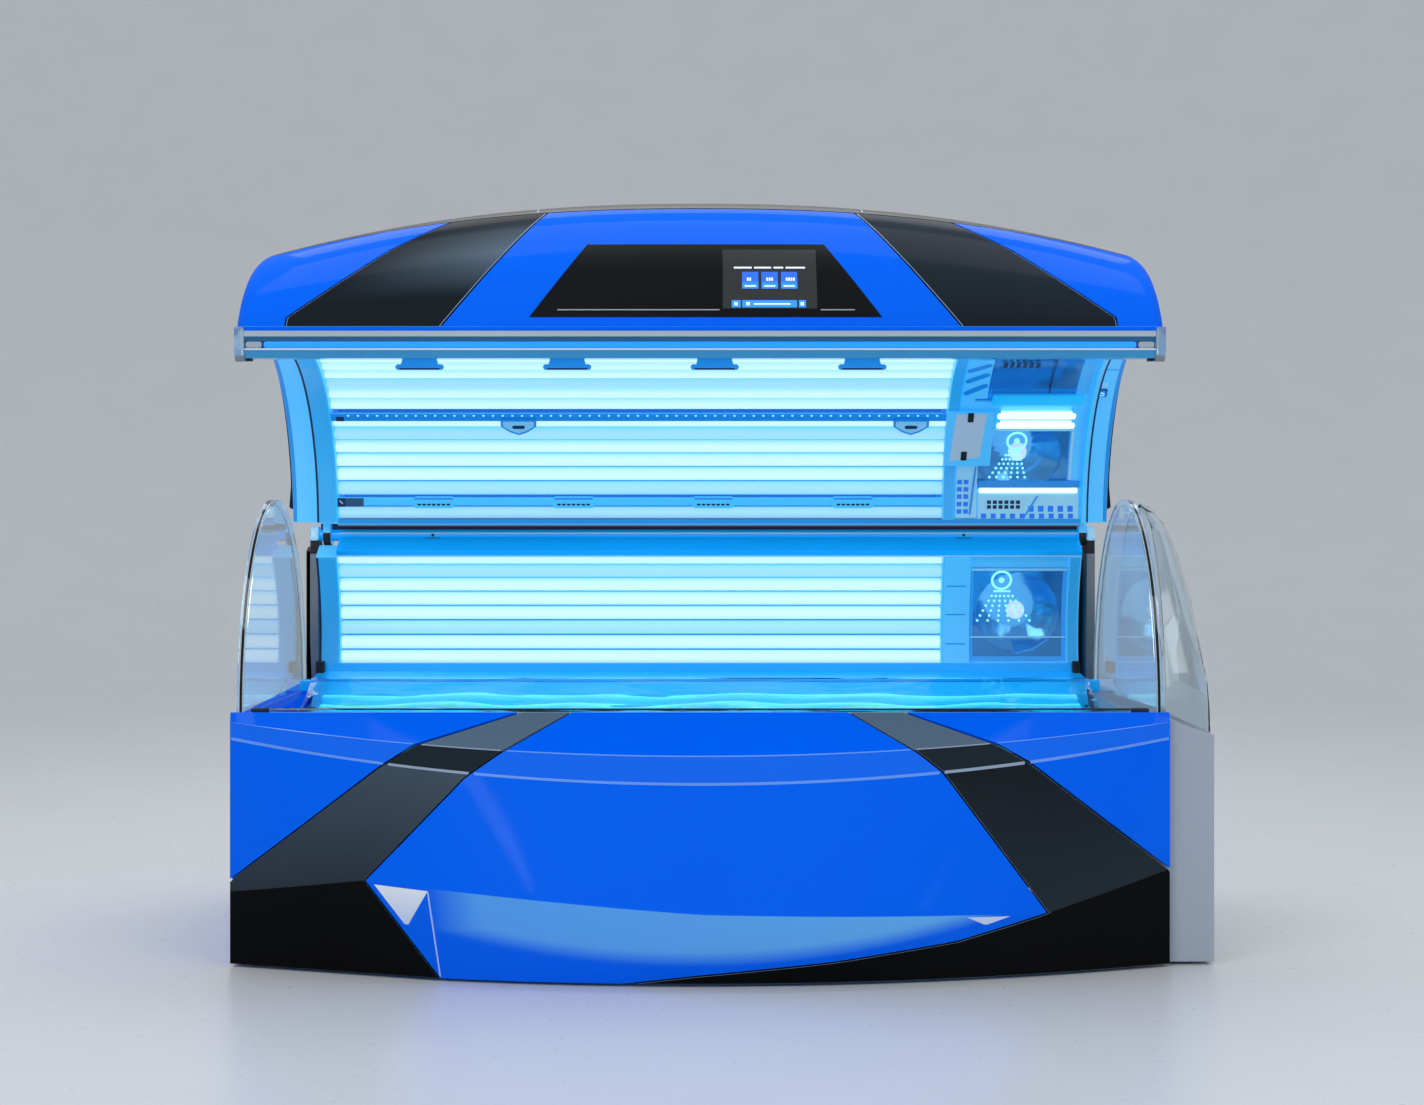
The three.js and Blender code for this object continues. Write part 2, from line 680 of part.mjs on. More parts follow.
const COVER_TOP = LIP_Z + 1.4 * COVER_RISE;
const COVER_LOW = LIP_Z - 1.5 * COVER_FALL;
const COVER_LEFT_OUTER = [
  [COVER_END_W - CANOPY_HALF - STRIPE_FOOT, COVER_LOW],
  [COVER_END_W - CANOPY_HALF, LIP_Z],
  [STRIPE_BEND_X, LIP_Z + 0.583 * COVER_RISE],
  [STRIPE_TOP_X, LIP_Z + 0.817 * COVER_RISE],
  [STRIPE_FAR_X, COVER_TOP],
];
const COVER_LEFT_INNER = [
  [STRIPE_INNER_X, COVER_LOW],
  [STRIPE_INNER_X, LIP_Z],
  [STRIPE_INNER_TOP_X, LIP_Z + 0.738 * COVER_RISE],
  [STRIPE_INNER_FAR_X, COVER_TOP],
];
const mirrored = (line, shift) => line.map(([x, z]) => [shift - x, z]).reverse();
const COVER_SHIFT = 6; // the right stripe isn't quite the left one's mirror image
const COVER_RIGHT_INNER = mirrored(COVER_LEFT_INNER, COVER_SHIFT);
const COVER_RIGHT_OUTER = mirrored(COVER_LEFT_OUTER, COVER_SHIFT);

function coverPanels() {
  const shell = coverShell();
  const half = SEAM / 2;
  const wide = BEYOND;
  const front = box(-wide, wide, -2 * wide, CREST_Y - half, COVER_LOW, COVER_TOP);
  const back = box(-wide, wide, CREST_Y + half, wide, COVER_LOW, COVER_TOP);
  const face = shell.intersect(front);
  const cut = (outline) => face.intersect(alongY(outline, -2 * wide, wide));
  const left = (line) => offsetLine(line, half);
  const right = (line) => offsetLine(line, -half);
  const endLeft = [...left(COVER_LEFT_OUTER), [-wide, COVER_TOP], [-wide, COVER_LOW]];
  const stripeLeft = [...right(COVER_LEFT_OUTER), ...left(COVER_LEFT_INNER).reverse()];
  const centre = [...right(COVER_LEFT_INNER), ...right(COVER_RIGHT_INNER)];
  const stripeRight = [...left(COVER_RIGHT_INNER), ...right(COVER_RIGHT_OUTER).reverse()];
  const endRight = [...left(COVER_RIGHT_OUTER), [wide, COVER_LOW], [wide, COVER_TOP]];
  const trapezium = (gap) => [
    [DISPLAY_X - DISPLAY_BASE_W / 2 - gap, DISPLAY_Z0 - gap],
    [DISPLAY_X + DISPLAY_BASE_W / 2 + gap, DISPLAY_Z0 - gap],
    [DISPLAY_X + DISPLAY_TOP_W / 2 + gap, DISPLAY_Z1 + gap],
    [DISPLAY_X - DISPLAY_TOP_W / 2 - gap, DISPLAY_Z1 + gap],
  ];
  const window = (gap) => [
    [SCREEN_X0 - gap, SCREEN_Z0 - gap],
    [SCREEN_X1 + gap, SCREEN_Z0 - gap],
    [SCREEN_X1 + gap, SCREEN_Z1 + gap],
    [SCREEN_X0 - gap, SCREEN_Z1 + gap],
  ];
  const opening = (outline) => alongY(outline, -2 * wide, CREST_Y);
  const bezel = face.intersect(opening(trapezium(0))).subtract(opening(window(FIT)));
  return [
    piece("canopy_center_panel", cut(centre).subtract(opening(trapezium(FIT))), BLUE),
    piece("canopy_stripe_left", cut(stripeLeft), BLACK),
    piece("canopy_stripe_right", cut(stripeRight), BLACK),
    piece("canopy_end_left", cut(endLeft), BLUE),
    piece("canopy_end_right", cut(endRight), BLUE),
    piece("canopy_roof", shell.intersect(back), BLACK),
    piece("display_panel", bezel, BLACK),
    piece("touchscreen", face.intersect(opening(window(0))), BLACK),
  ];
}

// Canopy lip: an extruded rail with a light bar in its groove, clips below it and a cap at each end

function lipParts() {
  const top = LIP_Z - FIT;
  const low = top - LIP_HEIGHT;
  const y0 = LIP_Y - 4;
  const grooveTop = top - (LIP_HEIGHT - BAR_HEIGHT) / 2;
  const grooveLow = grooveTop - BAR_HEIGHT;
  const backAngle = CANOPY_END + ARC_GAP;
  const frontAngle = THREE.MathUtils.radToDeg(Math.acos((LIP_Y - CANOPY_ARC.y) / OUTER_R));
  const end = onArc(CANOPY_ARC, TRIM_R, backAngle);
  const profile = [
    [y0, top],
    [y0 + 4, grooveTop],
    [y0 + BAR_DEPTH + 4, grooveTop],
    [y0 + BAR_DEPTH + 4, grooveLow],
    [y0 + 4, grooveLow],
    [y0 + 12, low],
    [y0 + LIP_DEPTH, low],
    end,
    onArc(CANOPY_ARC, OUTER_R, backAngle),
    onArc(CANOPY_ARC, OUTER_R, (backAngle + frontAngle) / 2),
    onArc(CANOPY_ARC, OUTER_R, frontAngle),
  ];
  const railHalf = CANOPY_HALF - LIP_CAP_W - FIT;
  const clipY = y0 + LIP_DEPTH - CLIP_T;
  const clips = CLIP_X.map((x) => {
    const outline = [
      [x - CLIP_NECK_W / 2, low + 4],
      [x - CLIP_NECK_W / 2, low - CLIP_DROP * 0.5],
      [x - CLIP_W / 2, low - CLIP_DROP * 0.68],
      [x - CLIP_W / 2 + 5, low - CLIP_DROP],
      [x + CLIP_W / 2 - 5, low - CLIP_DROP],
      [x + CLIP_W / 2, low - CLIP_DROP * 0.68],
      [x + CLIP_NECK_W / 2, low - CLIP_DROP * 0.5],
      [x + CLIP_NECK_W / 2, low + 4],
    ];
    return alongY(outline, clipY, clipY + CLIP_T);
  });
  const rail = join([alongX(profile, -railHalf, railHalf), ...clips]);
  const barOutline = [
    [y0 + 5, grooveLow + FIT],
    [y0 + BAR_DEPTH + 4 - FIT, grooveLow + FIT],
    [y0 + BAR_DEPTH + 4 - FIT, grooveTop - FIT],
    [y0 + 5, grooveTop - FIT],
  ];
  const capOutline = [
    [y0, top],
    [y0 + 2, low + 14],
    [y0 + 14, low - 8],
    [y0 + 34, low - 8],
    [y0 + LIP_DEPTH, low],
    end,
    [y0 + COVER_WALL + 6, top],
  ];
  const capStart = railHalf + FIT;
  return [
    piece("lip_rail", rail, ALUMINIUM),
    piece("lip_light_bar", alongX(barOutline, FIT - railHalf, railHalf - FIT), GLOW),
    piece("lip_cap_left", alongX(capOutline, -CANOPY_HALF, -capStart), WHITE),
    piece("lip_cap_right", alongX(capOutline, capStart, CANOPY_HALF), WHITE),
  ];
}

// Canopy inside: end plates with hinge lugs, frame, reflector, lamps, pane and trim

function hingeLug(x0, plate0, plate1) {
  const hole = tubeX(HINGE_Y, HINGE_Z, TUBE_R + RUNNING, plate0 - 1, plate1 + 1, TUBE_SIDES);
  const eye = tubeX(HINGE_Y, HINGE_Z, LUG_R, x0, x0 + LUG_WIDTH, TUBE_SIDES);
  const [, seat] = onArc(CANOPY_ARC, PANE_R, CANOPY_START + 1);
  const web = box(x0, x0 + LUG_WIDTH, HINGE_Y - LUG_R, HINGE_Y + TUBE_R, HINGE_Z, seat);
  return { lug: eye.add(web), hole };
}

function endPlate(x0, x1, flangeX0, flangeX1, lugX) {
  const plate = band(CANOPY_ARC, TRIM_R, OUTER_R, CANOPY_START, CANOPY_END, x0, x1);
  const flange = band(CANOPY_ARC, FLANGE_R, OUTER_R, CANOPY_START, CANOPY_END, flangeX0, flangeX1);
  const { lug, hole } = hingeLug(lugX, flangeX0, flangeX1);
  return join([plate, flange, lug]).subtract(hole);
}

function canopyFrame() {
  const ribs = [BANK_X0, (BANK_X0 + PARTITION_X0) / 2, PARTITION_X0 - RIB_W, HEAD_X1 - RIB_W];
  const beams = [CANOPY_START + 1, 48, CANOPY_END - RAIL_SPAN - 1];
  const ribParts = ribs.map((x) => {
    return band(CANOPY_ARC, FRAME_R, OUTER_R, CANOPY_START, CANOPY_END, x, x + RIB_W);
  });
  const beamParts = beams.map((a) => {
    return band(CANOPY_ARC, FRAME_R, OUTER_R, a, a + RAIL_SPAN, BANK_X0, HEAD_X1);
  });
  const edge = band(
    CANOPY_ARC,
    TRIM_R,
    OUTER_R,
    CANOPY_START - 0.9,
    CANOPY_START + 1.1,
    BANK_X0,
    HEAD_X1,
  );
  return join([...ribParts, ...beamParts, edge]);
}

// A strip along the lamps with the same fitting at each of some places, its middle set below the strip's.
function stripWith(arc, angle, span, places, outline, drop) {
  const strip = band(arc, TRIM_R, PANE_R - FIT, angle - span / 2, angle + span / 2, BANK_X0, BANK_X1);
  const back = PANE_R - FITTING_SEAT;
  const middle = angle - THREE.MathUtils.radToDeg(drop / back);
  const inward = radial(middle).negate();
  const upright = new THREE.Vector3().crossVectors(inward, AXIS_X);
  const [y, z] = onArc(arc, back, middle);
  const fittings = places.map((x) => {
    const matrix = new THREE.Matrix4().makeBasis(AXIS_X, upright, inward).setPosition(x, y, z);
    return extrude(outline, back - TRIM_R + FITTING_PROUD, matrix);
  });
  return join([strip, ...fittings]);
}

// A square block that reaches outwards from the face of the button, at right angles to the end flange.
function plunger(x, width, depth) {
  const outward = radial(BUTTON_ANGLE);
  const block = new THREE.BoxGeometry(width, width, depth);
  const upright = new THREE.Vector3().crossVectors(outward, AXIS_X);
  block.applyMatrix4(new THREE.Matrix4().makeBasis(AXIS_X, upright, outward));
  const [y, z] = onArc(CANOPY_ARC, FLANGE_R - BUTTON_PROUD + depth / 2, BUTTON_ANGLE);
  return solid(block.translate(x, y, z));
}

function canopyInside() {
  const start = CANOPY_START + 1.2;
  const angles = CANOPY_LAMPS.flatMap(([first, count]) => lampAngles(first, count));
  const reflector = band(CANOPY_ARC, REFLECTOR_R, SHEET_R, start, CANOPY_END, BANK_X0, BANK_X1);
  const pane = band(CANOPY_ARC, PANE_R, GLASS_R, start, CANOPY_END, BANK_X0, BANK_X1);
  const nozzle = [
    [-NOZZLE_W / 2, 0],
    [NOZZLE_TAPER - NOZZLE_W / 2, -NOZZLE_H / 2],
    [NOZZLE_W / 2 - NOZZLE_TAPER, -NOZZLE_H / 2],
    [NOZZLE_W / 2, 0],
    [NOZZLE_W / 2 - NOZZLE_TAPER, NOZZLE_H / 2],
    [NOZZLE_TAPER - NOZZLE_W / 2, NOZZLE_H / 2],
  ];
  const bracket = [
    [0, -BRACKET_H / 2],
    [BRACKET_W * 0.26, -BRACKET_H * 0.3],
    [BRACKET_W / 2, BRACKET_H * 0.06],
    [BRACKET_W / 2, BRACKET_H / 2],
    [-BRACKET_W / 2, BRACKET_H / 2],
    [-BRACKET_W / 2, BRACKET_H * 0.06],
    [-BRACKET_W * 0.26, -BRACKET_H * 0.3],
  ];
  const air = stripWith(CANOPY_ARC, AIR_ANGLE, AIR_SPAN, NOZZLE_X, nozzle, 0);
  const light = stripWith(CANOPY_ARC, LIGHT_ANGLE, LIGHT_SPAN, BRACKET_X, bracket, BRACKET_H / 2);
  const lugLeft = CHEEK_X0 + LUG_INSET;
  const lugRight = HEAD_CHEEK_X1 - LUG_WIDTH;
  const buttonX = HEAD_CHEEK_X1 + BUTTON_INSET;
  const length = BUTTON_PROUD + BUTTON_SEAT;
  const hole = plunger(buttonX, BUTTON_W + 2 * RUNNING, length + BUTTON_TRAVEL + RUNNING);
  const button = plunger(buttonX, BUTTON_W, length);
  const cheekRight = endPlate(
    HEAD_CHEEK_X0,
    HEAD_CHEEK_X1,
    HEAD_CHEEK_X0,
    FLANGE_END,
    lugRight,
  ).subtract(hole);
  return [
    piece("canopy_frame", canopyFrame(), STEEL),
    piece("canopy_end_plate_left", endPlate(CHEEK_X0, CHEEK_X1, -FLANGE_END, CHEEK_X1, lugLeft), WHITE),
    piece("canopy_end_plate_right", cheekRight, WHITE),
    piece("start_button", button, BLUE),
    piece("canopy_reflector", reflector, MIRROR),
    piece("canopy_lamps", lampBank(CANOPY_ARC, angles, LAMP_R), LAMP),
    piece("canopy_pane", pane, CLEAR),
    piece("air_rail", air, WHITE),
    piece("light_strip", light, WHITE),
  ];
}

function headUnit() {
  const start = CANOPY_START + 1.2;
  const windows = [
    [15, 34],
    [46, 76],
  ];
  const x0 = PARTITION_X1 + UNIT_EDGE;
  const x1 = HEAD_X1 - UNIT_EDGE;
  const parts = lampUnit("face", CANOPY_ARC, {
    x0: PARTITION_X0,
    x1: HEAD_X1,
    glassX0: x0,
    glassX1: x1,
    a0: start,
    a1: CANOPY_END,
    windows,
    ribs: [[PARTITION_X0, PARTITION_X1]],
  });
  const holderOut = GLASS_R - FIT;
  const panelX0 = PARTITION_X0 - 4;
  const tubeX0 = panelX0 + PANEL_W + 4;
  const tubeAngles = [37.8, 41.8];
  const tubeR = holderOut - SHORT_TUBE_R - 4;
  const holders = [
    band(CANOPY_ARC, tubeR - 5, holderOut, 36.4, 43.2, tubeX0, tubeX0 + 16),
    band(CANOPY_ARC, tubeR - 5, holderOut, 36.4, 43.2, x1 - 16, x1),
  ];
  const tubes = tubeAngles.map((a) => {
    const [y, z] = onArc(CANOPY_ARC, tubeR, a);
    return tubeX(y, z, SHORT_TUBE_R, tubeX0 + 8, x1 - 8, 10);
  });
  const inward = radial(PANEL_ANGLE).negate();
  const seat = onArc(CANOPY_ARC, TRIM_R - FIT - PANEL_T / 2, PANEL_ANGLE);
  const panel = new THREE.BoxGeometry(PANEL_W, PANEL_H, PANEL_T);
  const upright = new THREE.Vector3().crossVectors(inward, AXIS_X);
  panel.applyMatrix4(new THREE.Matrix4().makeBasis(AXIS_X, upright, inward));
  panel.translate(panelX0 + PANEL_W / 2, seat[0], seat[1]);
  const clearOf = tubeX(CANOPY_ARC.y, CANOPY_ARC.z, TRIM_R - 2 * FIT, -BEYOND, BEYOND, 90);
  const backR = GLASS_R + UNIT_T + FIT;
  const [m0, m1] = windows[1];
  const mirror = band(CANOPY_ARC, backR, backR + DISH_WALL, m0 - UNIT_LAP, m1 + UNIT_LAP, x0, x1);
  return [
    ...parts,
    piece("face_upper_reflector", mirror, MIRROR),
    piece("face_tubes", join([...holders, ...tubes]), LAMP),
    piece("control_panel", solid(panel).intersect(clearOf), WHITE),
  ];
}

// Base inside: the lamp-lit back of the tunnel and the bench

function baseInside() {
  const partitionX1 = PARTITION_X0 + SHOULDER_PARTITION_W;
  const flangeX0 = HEAD_X1 - SHOULDER_FLANGE_W;
  const angles = lampAngles(BASE_FIRST_LAMP, BASE_LAMPS);
  const reflector = band(BASE_ARC, REFLECTOR_R, SHEET_R, BASE_START, BASE_END, BANK_X0, BANK_X1);
  const pane = band(BASE_ARC, PANE_R, GLASS_R, BASE_START, BASE_END, BANK_X0, BANK_X1);
  const plate = band(BASE_ARC, TRIM_R, FRAME_R - FIT, BASE_START, BASE_END, CHEEK_X0, CHEEK_X1);
  const topRail = band(
    BASE_ARC,
    TRIM_R,
    SHEET_R,
    BASE_END + ARC_GAP,
    BASE_END + RAIL_SPAN,
    BANK_X0,
    HEAD_X1,
  );
  const ledge = [
    [BENCH_REAR_Y + BENCH_T, BENCH_REAR_Z - 14],
    [BENCH_REAR_Y + BENCH_T, BENCH_REAR_Z],
    onArc(BASE_ARC, PANE_R, BASE_START - RAIL_SPAN / 2),
    onArc(BASE_ARC, PANE_R, BASE_START - RAIL_SPAN),
  ];
  const rearRail = band(
    BASE_ARC,
    TRIM_R,
    OUTER_R,
    BASE_START - RAIL_SPAN,
    BASE_START - ARC_GAP,
    CHEEK_X0,
    HEAD_X1,
  ).add(alongX(ledge, CHEEK_X0, HEAD_X1));
  return [
    piece("base_reflector", reflector, MIRROR),
    piece("base_lamps", lampBank(BASE_ARC, angles, LAMP_R), LAMP),
    piece("base_pane", pane, CLEAR),
    piece("base_end_plate_left", plate, WHITE),
    piece("base_top_rail", topRail, ALUMINIUM),
    piece("bench_rear_rail", rearRail, ALUMINIUM),
    ...lampUnit("shoulder", BASE_ARC, {
      x0: PARTITION_X0,
      x1: HEAD_X1,
      glassX0: partitionX1 + FIT,
      glassX1: flangeX0 - FIT,
      a0: BASE_START,
      a1: BASE_END,
      windows: [[-6, 23]],
      ribs: [
        [PARTITION_X0, partitionX1],
        [flangeX0, HEAD_X1],
      ],
    }),
  ];
}

// Centre and radius of the bench pane's upper face, from its two edges and its sag.
function benchArc() {
  const front = { y: BENCH_FRONT_Y, z: RIM_Z + FIT + BENCH_T };
  const dy = BENCH_REAR_Y - front.y;
  const dz = BENCH_REAR_Z - front.z;
  const chord = Math.hypot(dy, dz);
  const radius = (chord ** 2 / 4 + BENCH_SAG ** 2) / (2 * BENCH_SAG);
  const rise = radius - BENCH_SAG;
  const y = (front.y + BENCH_REAR_Y) / 2 - (dz / chord) * rise;
  const z = (front.z + BENCH_REAR_Z) / 2 + (dy / chord) * rise;
  const angleOf = (py, pz) => THREE.MathUtils.radToDeg(Math.atan2(pz - z, py - y));
  return {
    arc: { y, z },
    radius,
    a0: angleOf(front.y, front.z),
    a1: angleOf(BENCH_REAR_Y, BENCH_REAR_Z),
  };
}

function benchParts() {
  const { arc, radius, a0, a1 } = benchArc();
  const pane = band(arc, radius, radius + BENCH_T, a0, a1, -BENCH_HALF, BENCH_HALF);
  const lampR = radius + BENCH_T + BENCH_LAMP_GAP + LAMP_D / 2;
  const firstA = a0 + BENCH_MARGIN;
  const pitch = (a1 - firstA) / BENCH_LAMPS;
  const trayIn = lampR + LAMP_D / 2 + REFLECTOR_GAP;
  const trayA0 = firstA - pitch * 0.4;
  const trayA1 = a1 - pitch * 0.6;
  const half = BENCH_HALF - BEAM_W / 2;
  const tray = band(arc, trayIn, trayIn + BENCH_TRAY_T, trayA0, trayA1, -half, half);
  const lamps = Array.from({ length: BENCH_LAMPS }, (_, k) => {
    const [y, z] = onArc(arc, lampR, firstA + pitch * k);
    return tubeX(y, z, LAMP_D / 2, HOLDER_W / 2 - half, half - HOLDER_W / 2, LAMP_SIDES);
  });
  const holders = [-half, half - HOLDER_W].map((x) => {
    return band(arc, lampR, trayIn + BENCH_TRAY_T / 2, trayA0, trayA1, x, x + HOLDER_W);
  });
  const railTop = RIM_Z - 1;
  const rail = box(
    -BENCH_HALF,
    BENCH_HALF,
    RIM_Y + FRONT_T + FIT,
    RIM_Y + FRONT_T + FIT + FRONT_RAIL_T,
    railTop - FRONT_RAIL_H,
    railTop,
  );
  const { y, z } = arc;
  const under = boreX(y, z, radius + BENCH_T + FIT, -BEYOND, BEYOND, 240);
  return {
    trayR: trayIn + BENCH_TRAY_T,
    nodes: [
      piece("bench_pane", pane, CLEAR),
      piece("bench_lamp_tray", join([tray, ...holders, ...lamps]), MIRROR),
      piece("bench_front_rail", rail.subtract(under), ALUMINIUM),
    ],
  };
}

// Chassis: two long beams with cross beams, posts for the bench, and ribs behind the tunnel

function chassis(trayR) {
  const z1 = CHASSIS_Z0 + CHASSIS_H;
  const half = BENCH_HALF;
  const seat = BACK_WALL + FIT; // from a cover's outer face to the beam end that carries it
  const beamEnds = [
    { y: CHASSIS_FRONT_Y, x0: seat - FRONT_HALF, x1: HOUSING_X1 - seat },
    { y: CHASSIS_REAR_Y, x0: seat - BACK_HALF, x1: BACK_HALF - seat },
  ];
  const beams = beamEnds.map(({ y, x0, x1 }) => {
    return box(x0, x1, y - BEAM_W / 2, y + BEAM_W / 2, CHASSIS_Z0, z1);
  });
  const crossBeams = POST_X.map((x) => {
    return box(x - BEAM_W / 2, x + BEAM_W / 2, CHASSIS_FRONT_Y, CHASSIS_REAR_Y, CHASSIS_Z0, z1);
  });
  const railY0 = RIM_Y + FRONT_T + FIT;
  const postTop = RIM_Z - 1 - FRONT_RAIL_H - FIT;
  const posts = POST_X.map((x) => {
    const outline = [
      [railY0, postTop - 60],
      [railY0, postTop],
      [railY0 + FRONT_RAIL_T, postTop],
      [railY0 + FRONT_RAIL_T, postTop - 40],
      [CHASSIS_FRONT_Y + BEAM_W / 2, CHASSIS_Z0 + CHASSIS_H],
      [CHASSIS_FRONT_Y + BEAM_W / 2, CHASSIS_Z0],
      [CHASSIS_FRONT_Y - BEAM_W / 2, CHASSIS_Z0],
    ];
    return alongX(outline, x - BEAM_W / 2, x + BEAM_W / 2);
  });
  const { arc, a0, a1 } = benchArc();
  const middle = (a0 + a1) / 2;
  const [saddleY] = onArc(arc, trayR, middle);
  const saddles = POST_X.map((x) => {
    const block = box(x - 12, x + 12, saddleY - 150, saddleY + 150, z1 - 1, arc.z - trayR * 0.9);
    return block.subtract(boreX(arc.y, arc.z, trayR + FIT, -BEYOND, BEYOND, 144));
  });
  const ribX = [CHEEK_X0, PARTITION_X0, HEAD_X1 - BEAM_W];
  const ribs = ribX.map((x) => {
    const rib = band(BASE_ARC, FRAME_R, OUTER_R, BASE_START, BASE_END - RAIL_SPAN, x, x + BEAM_W);
    const [, z0] = onArc(BASE_ARC, OUTER_R, BASE_START);
    const [, ribTop] = onArc(BASE_ARC, OUTER_R, 4);
    const y0 = BASE_ARC.y + FRAME_R + FRAME_T * 0.4;
    const leg = box(x, x + BEAM_W, y0, CHASSIS_REAR_Y + BEAM_W / 2, z0, ribTop);
    const foot = box(
      x,
      x + BEAM_W,
      CHASSIS_REAR_Y - BEAM_W / 2,
      CHASSIS_REAR_Y + BEAM_W / 2,
      CHASSIS_Z0,
      ribTop,
    );
    return join([rib, leg, foot]);
  });
  const blockX = hingeBlockX();
  const columns = blockX.map(([x0, x1]) => {
    const top = HINGE_Z - BLOCK_HEIGHT + TUBE_R + 8 - FIT;
    const outline = [
      [HINGE_Y - LUG_R, top],
      [HINGE_Y - LUG_R, top - 240],
      [CHASSIS_REAR_Y - BEAM_W / 2, z1 - 1],
      [CHASSIS_REAR_Y + BEAM_W / 2, z1 - 1],
      [CHASSIS_REAR_Y + BEAM_W / 2, top - 160],
      [HINGE_Y + LUG_R + 20, top],
    ];
    const column = alongX(outline, x0, x1);
    const sill = box(
      Math.min(x0, Math.sign(x0) * (half - 10)),
      Math.max(x1, Math.sign(x0) * (half - 10)),
      CHASSIS_REAR_Y - BEAM_W / 2,
      CHASSIS_REAR_Y + BEAM_W / 2,
      CHASSIS_Z0,
      z1,
    );
    return column.add(sill);
  });
  return join([...beams, ...crossBeams, ...posts, ...saddles, ...ribs, ...columns]);
}

function hingeBlockX() {
  const left = CHEEK_X0 - BLOCK_GAP;
  const right = HEAD_CHEEK_X1 + BLOCK_GAP;
  return [
    [left - BLOCK_WIDTH, left],
    [right, right + BLOCK_WIDTH],
  ];
}

function hingeParts() {
  const blocks = hingeBlockX();
  const tubeX0 = blocks[0][0] + 4;
  const tubeX1 = blocks[1][1] - 4;
  const tube = tubeX(HINGE_Y, HINGE_Z, TUBE_R, tubeX0, tubeX1, TUBE_SIDES);
  const bore = tubeX(HINGE_Y, HINGE_Z, TUBE_R + FIT, tubeX0 - FIT, tubeX1 + FIT, TUBE_SIDES);
  const low = HINGE_Z - BLOCK_HEIGHT + TUBE_R + 8;
  const outline = [
    [HINGE_Y - LUG_R, low],
    [HINGE_Y + LUG_R + 20, low],
    [HINGE_Y + LUG_R + 20, low + 20],
    [HINGE_Y + LUG_R, HINGE_Z],
    [HINGE_Y + TUBE_R, HINGE_Z + TUBE_R + 8],
    [HINGE_Y - TUBE_R, HINGE_Z + TUBE_R + 8],
    [HINGE_Y - LUG_R, HINGE_Z],
  ];
  const names = ["hinge_block_left", "hinge_block_right"];
  return [
    piece("hinge_tube", tube, ALUMINIUM),
    ...blocks.map(([x0, x1], i) => piece(names[i], alongX(outline, x0, x1).subtract(bore), BLACK)),
  ];
}

function feet() {
  const places = [
    ["front_left", -FOOT_X, CHASSIS_FRONT_Y],
    ["front_right", FOOT_X, CHASSIS_FRONT_Y],
    ["rear_left", -FOOT_X, CHASSIS_REAR_Y],
    ["rear_right", FOOT_X, CHASSIS_REAR_Y],
  ];
  const profile = [
    [0, 0],
    [FOOT_R, 0],
    [FOOT_R, FOOT_H * 0.6],
    [FOOT_R * 0.7, FOOT_H],
    [STEM_R, FOOT_H],
    [STEM_R, CHASSIS_Z0 - FIT],
    [0, CHASSIS_Z0 - FIT],
  ];
  return places.map(([name, x, y]) => {
    const foot = turned(profile, 14, new THREE.Vector3(x, y, 0), AXIS_Z);
    return piece("foot_" + name, foot, BLACK);
  });
}

// Rear and end covers

function rearCover() {
  const y0 = HINGE_Y + LUG_R + 24;
  const wall = BACK_WALL;
  const outer = [
    [y0, HEM_Z],
    [BACK_Y, HEM_Z],
    [BACK_Y - 5, BACK_TOP_Z - 204],
    [BACK_Y - 60, BACK_TOP_Z - 46],
    [y0 + 25, BACK_TOP_Z],
    [y0, BACK_TOP_Z - 12],
  ];
  const inner = [
    [y0 - 20, HEM_Z - 20],
    [BACK_Y - wall, HEM_Z - 20],
    [BACK_Y - wall - 5, BACK_TOP_Z - 206],
    [BACK_Y - wall - 58, BACK_TOP_Z - 51],
    [y0 + 26, BACK_TOP_Z - wall],
    [y0 - 20, BACK_TOP_Z - wall - 22],
  ];
  const half = BACK_HALF;
  const shell = alongX(outer, -half, half).subtract(alongX(inner, wall - half, half - wall));
  const gland = turned(
    [
      [0, 0],
      [GLAND_R, 0],
      [GLAND_R, GLAND_L * 0.4],
      [GLAND_R * 0.7, GLAND_L],
      [GLAND_R * 0.45, GLAND_L],
      [GLAND_R * 0.45, GLAND_L * 0.4],
      [0, GLAND_L * 0.4],
    ],
    20,
    new THREE.Vector3(GLAND_X, BACK_Y - wall, CHASSIS_Z0 + CHASSIS_H),
    AXIS_Y,
  );
  return piece("rear_cover", shell.add(gland), BLACK);
}

function endCovers() {
  const y0 = RIM_Y + FRONT_T + FIT;
  const y1 = BACK_Y - 12;
  const wall = BACK_WALL;
  const tailY = HINGE_Y - LUG_R - 2;
  const tail = box(-BACK_HALF - FIT, BACK_HALF + FIT, tailY, BACK_Y + 1, 0, BACK_TOP_Z);
  const leftOut = -FRONT_HALF;
  const left = box(leftOut, -END_INNER, y0, y1, HEM_Z, SHELF_Z)
    .subtract(box(leftOut + wall, 0, y0 + wall, y1 - wall, 0, SHELF_Z - wall))
    .subtract(tail);
  const outline = (inset) => [
    [END_INNER - (inset ? BEYOND : 0), HEM_Z - 2 * inset],
    [HOUSING_X1 - inset, HEM_Z - 2 * inset],
    [HOUSING_X1 - inset, HOUSING_EDGE_Z - inset],
    [HOUSING_X0, SHELF_Z - inset],
    [END_INNER - (inset ? BEYOND : 0), SHELF_Z - inset],
  ];
  const right = alongY(outline(0), y0, y1)
    .subtract(alongY(outline(wall), y0 + wall, y1 - wall))
    .subtract(tail);
  return [piece("end_cover_left", left, BLUE), piece("end_housing_right", right, GREY)];
}

// Clear shields at both ends, and the hood outside the right one

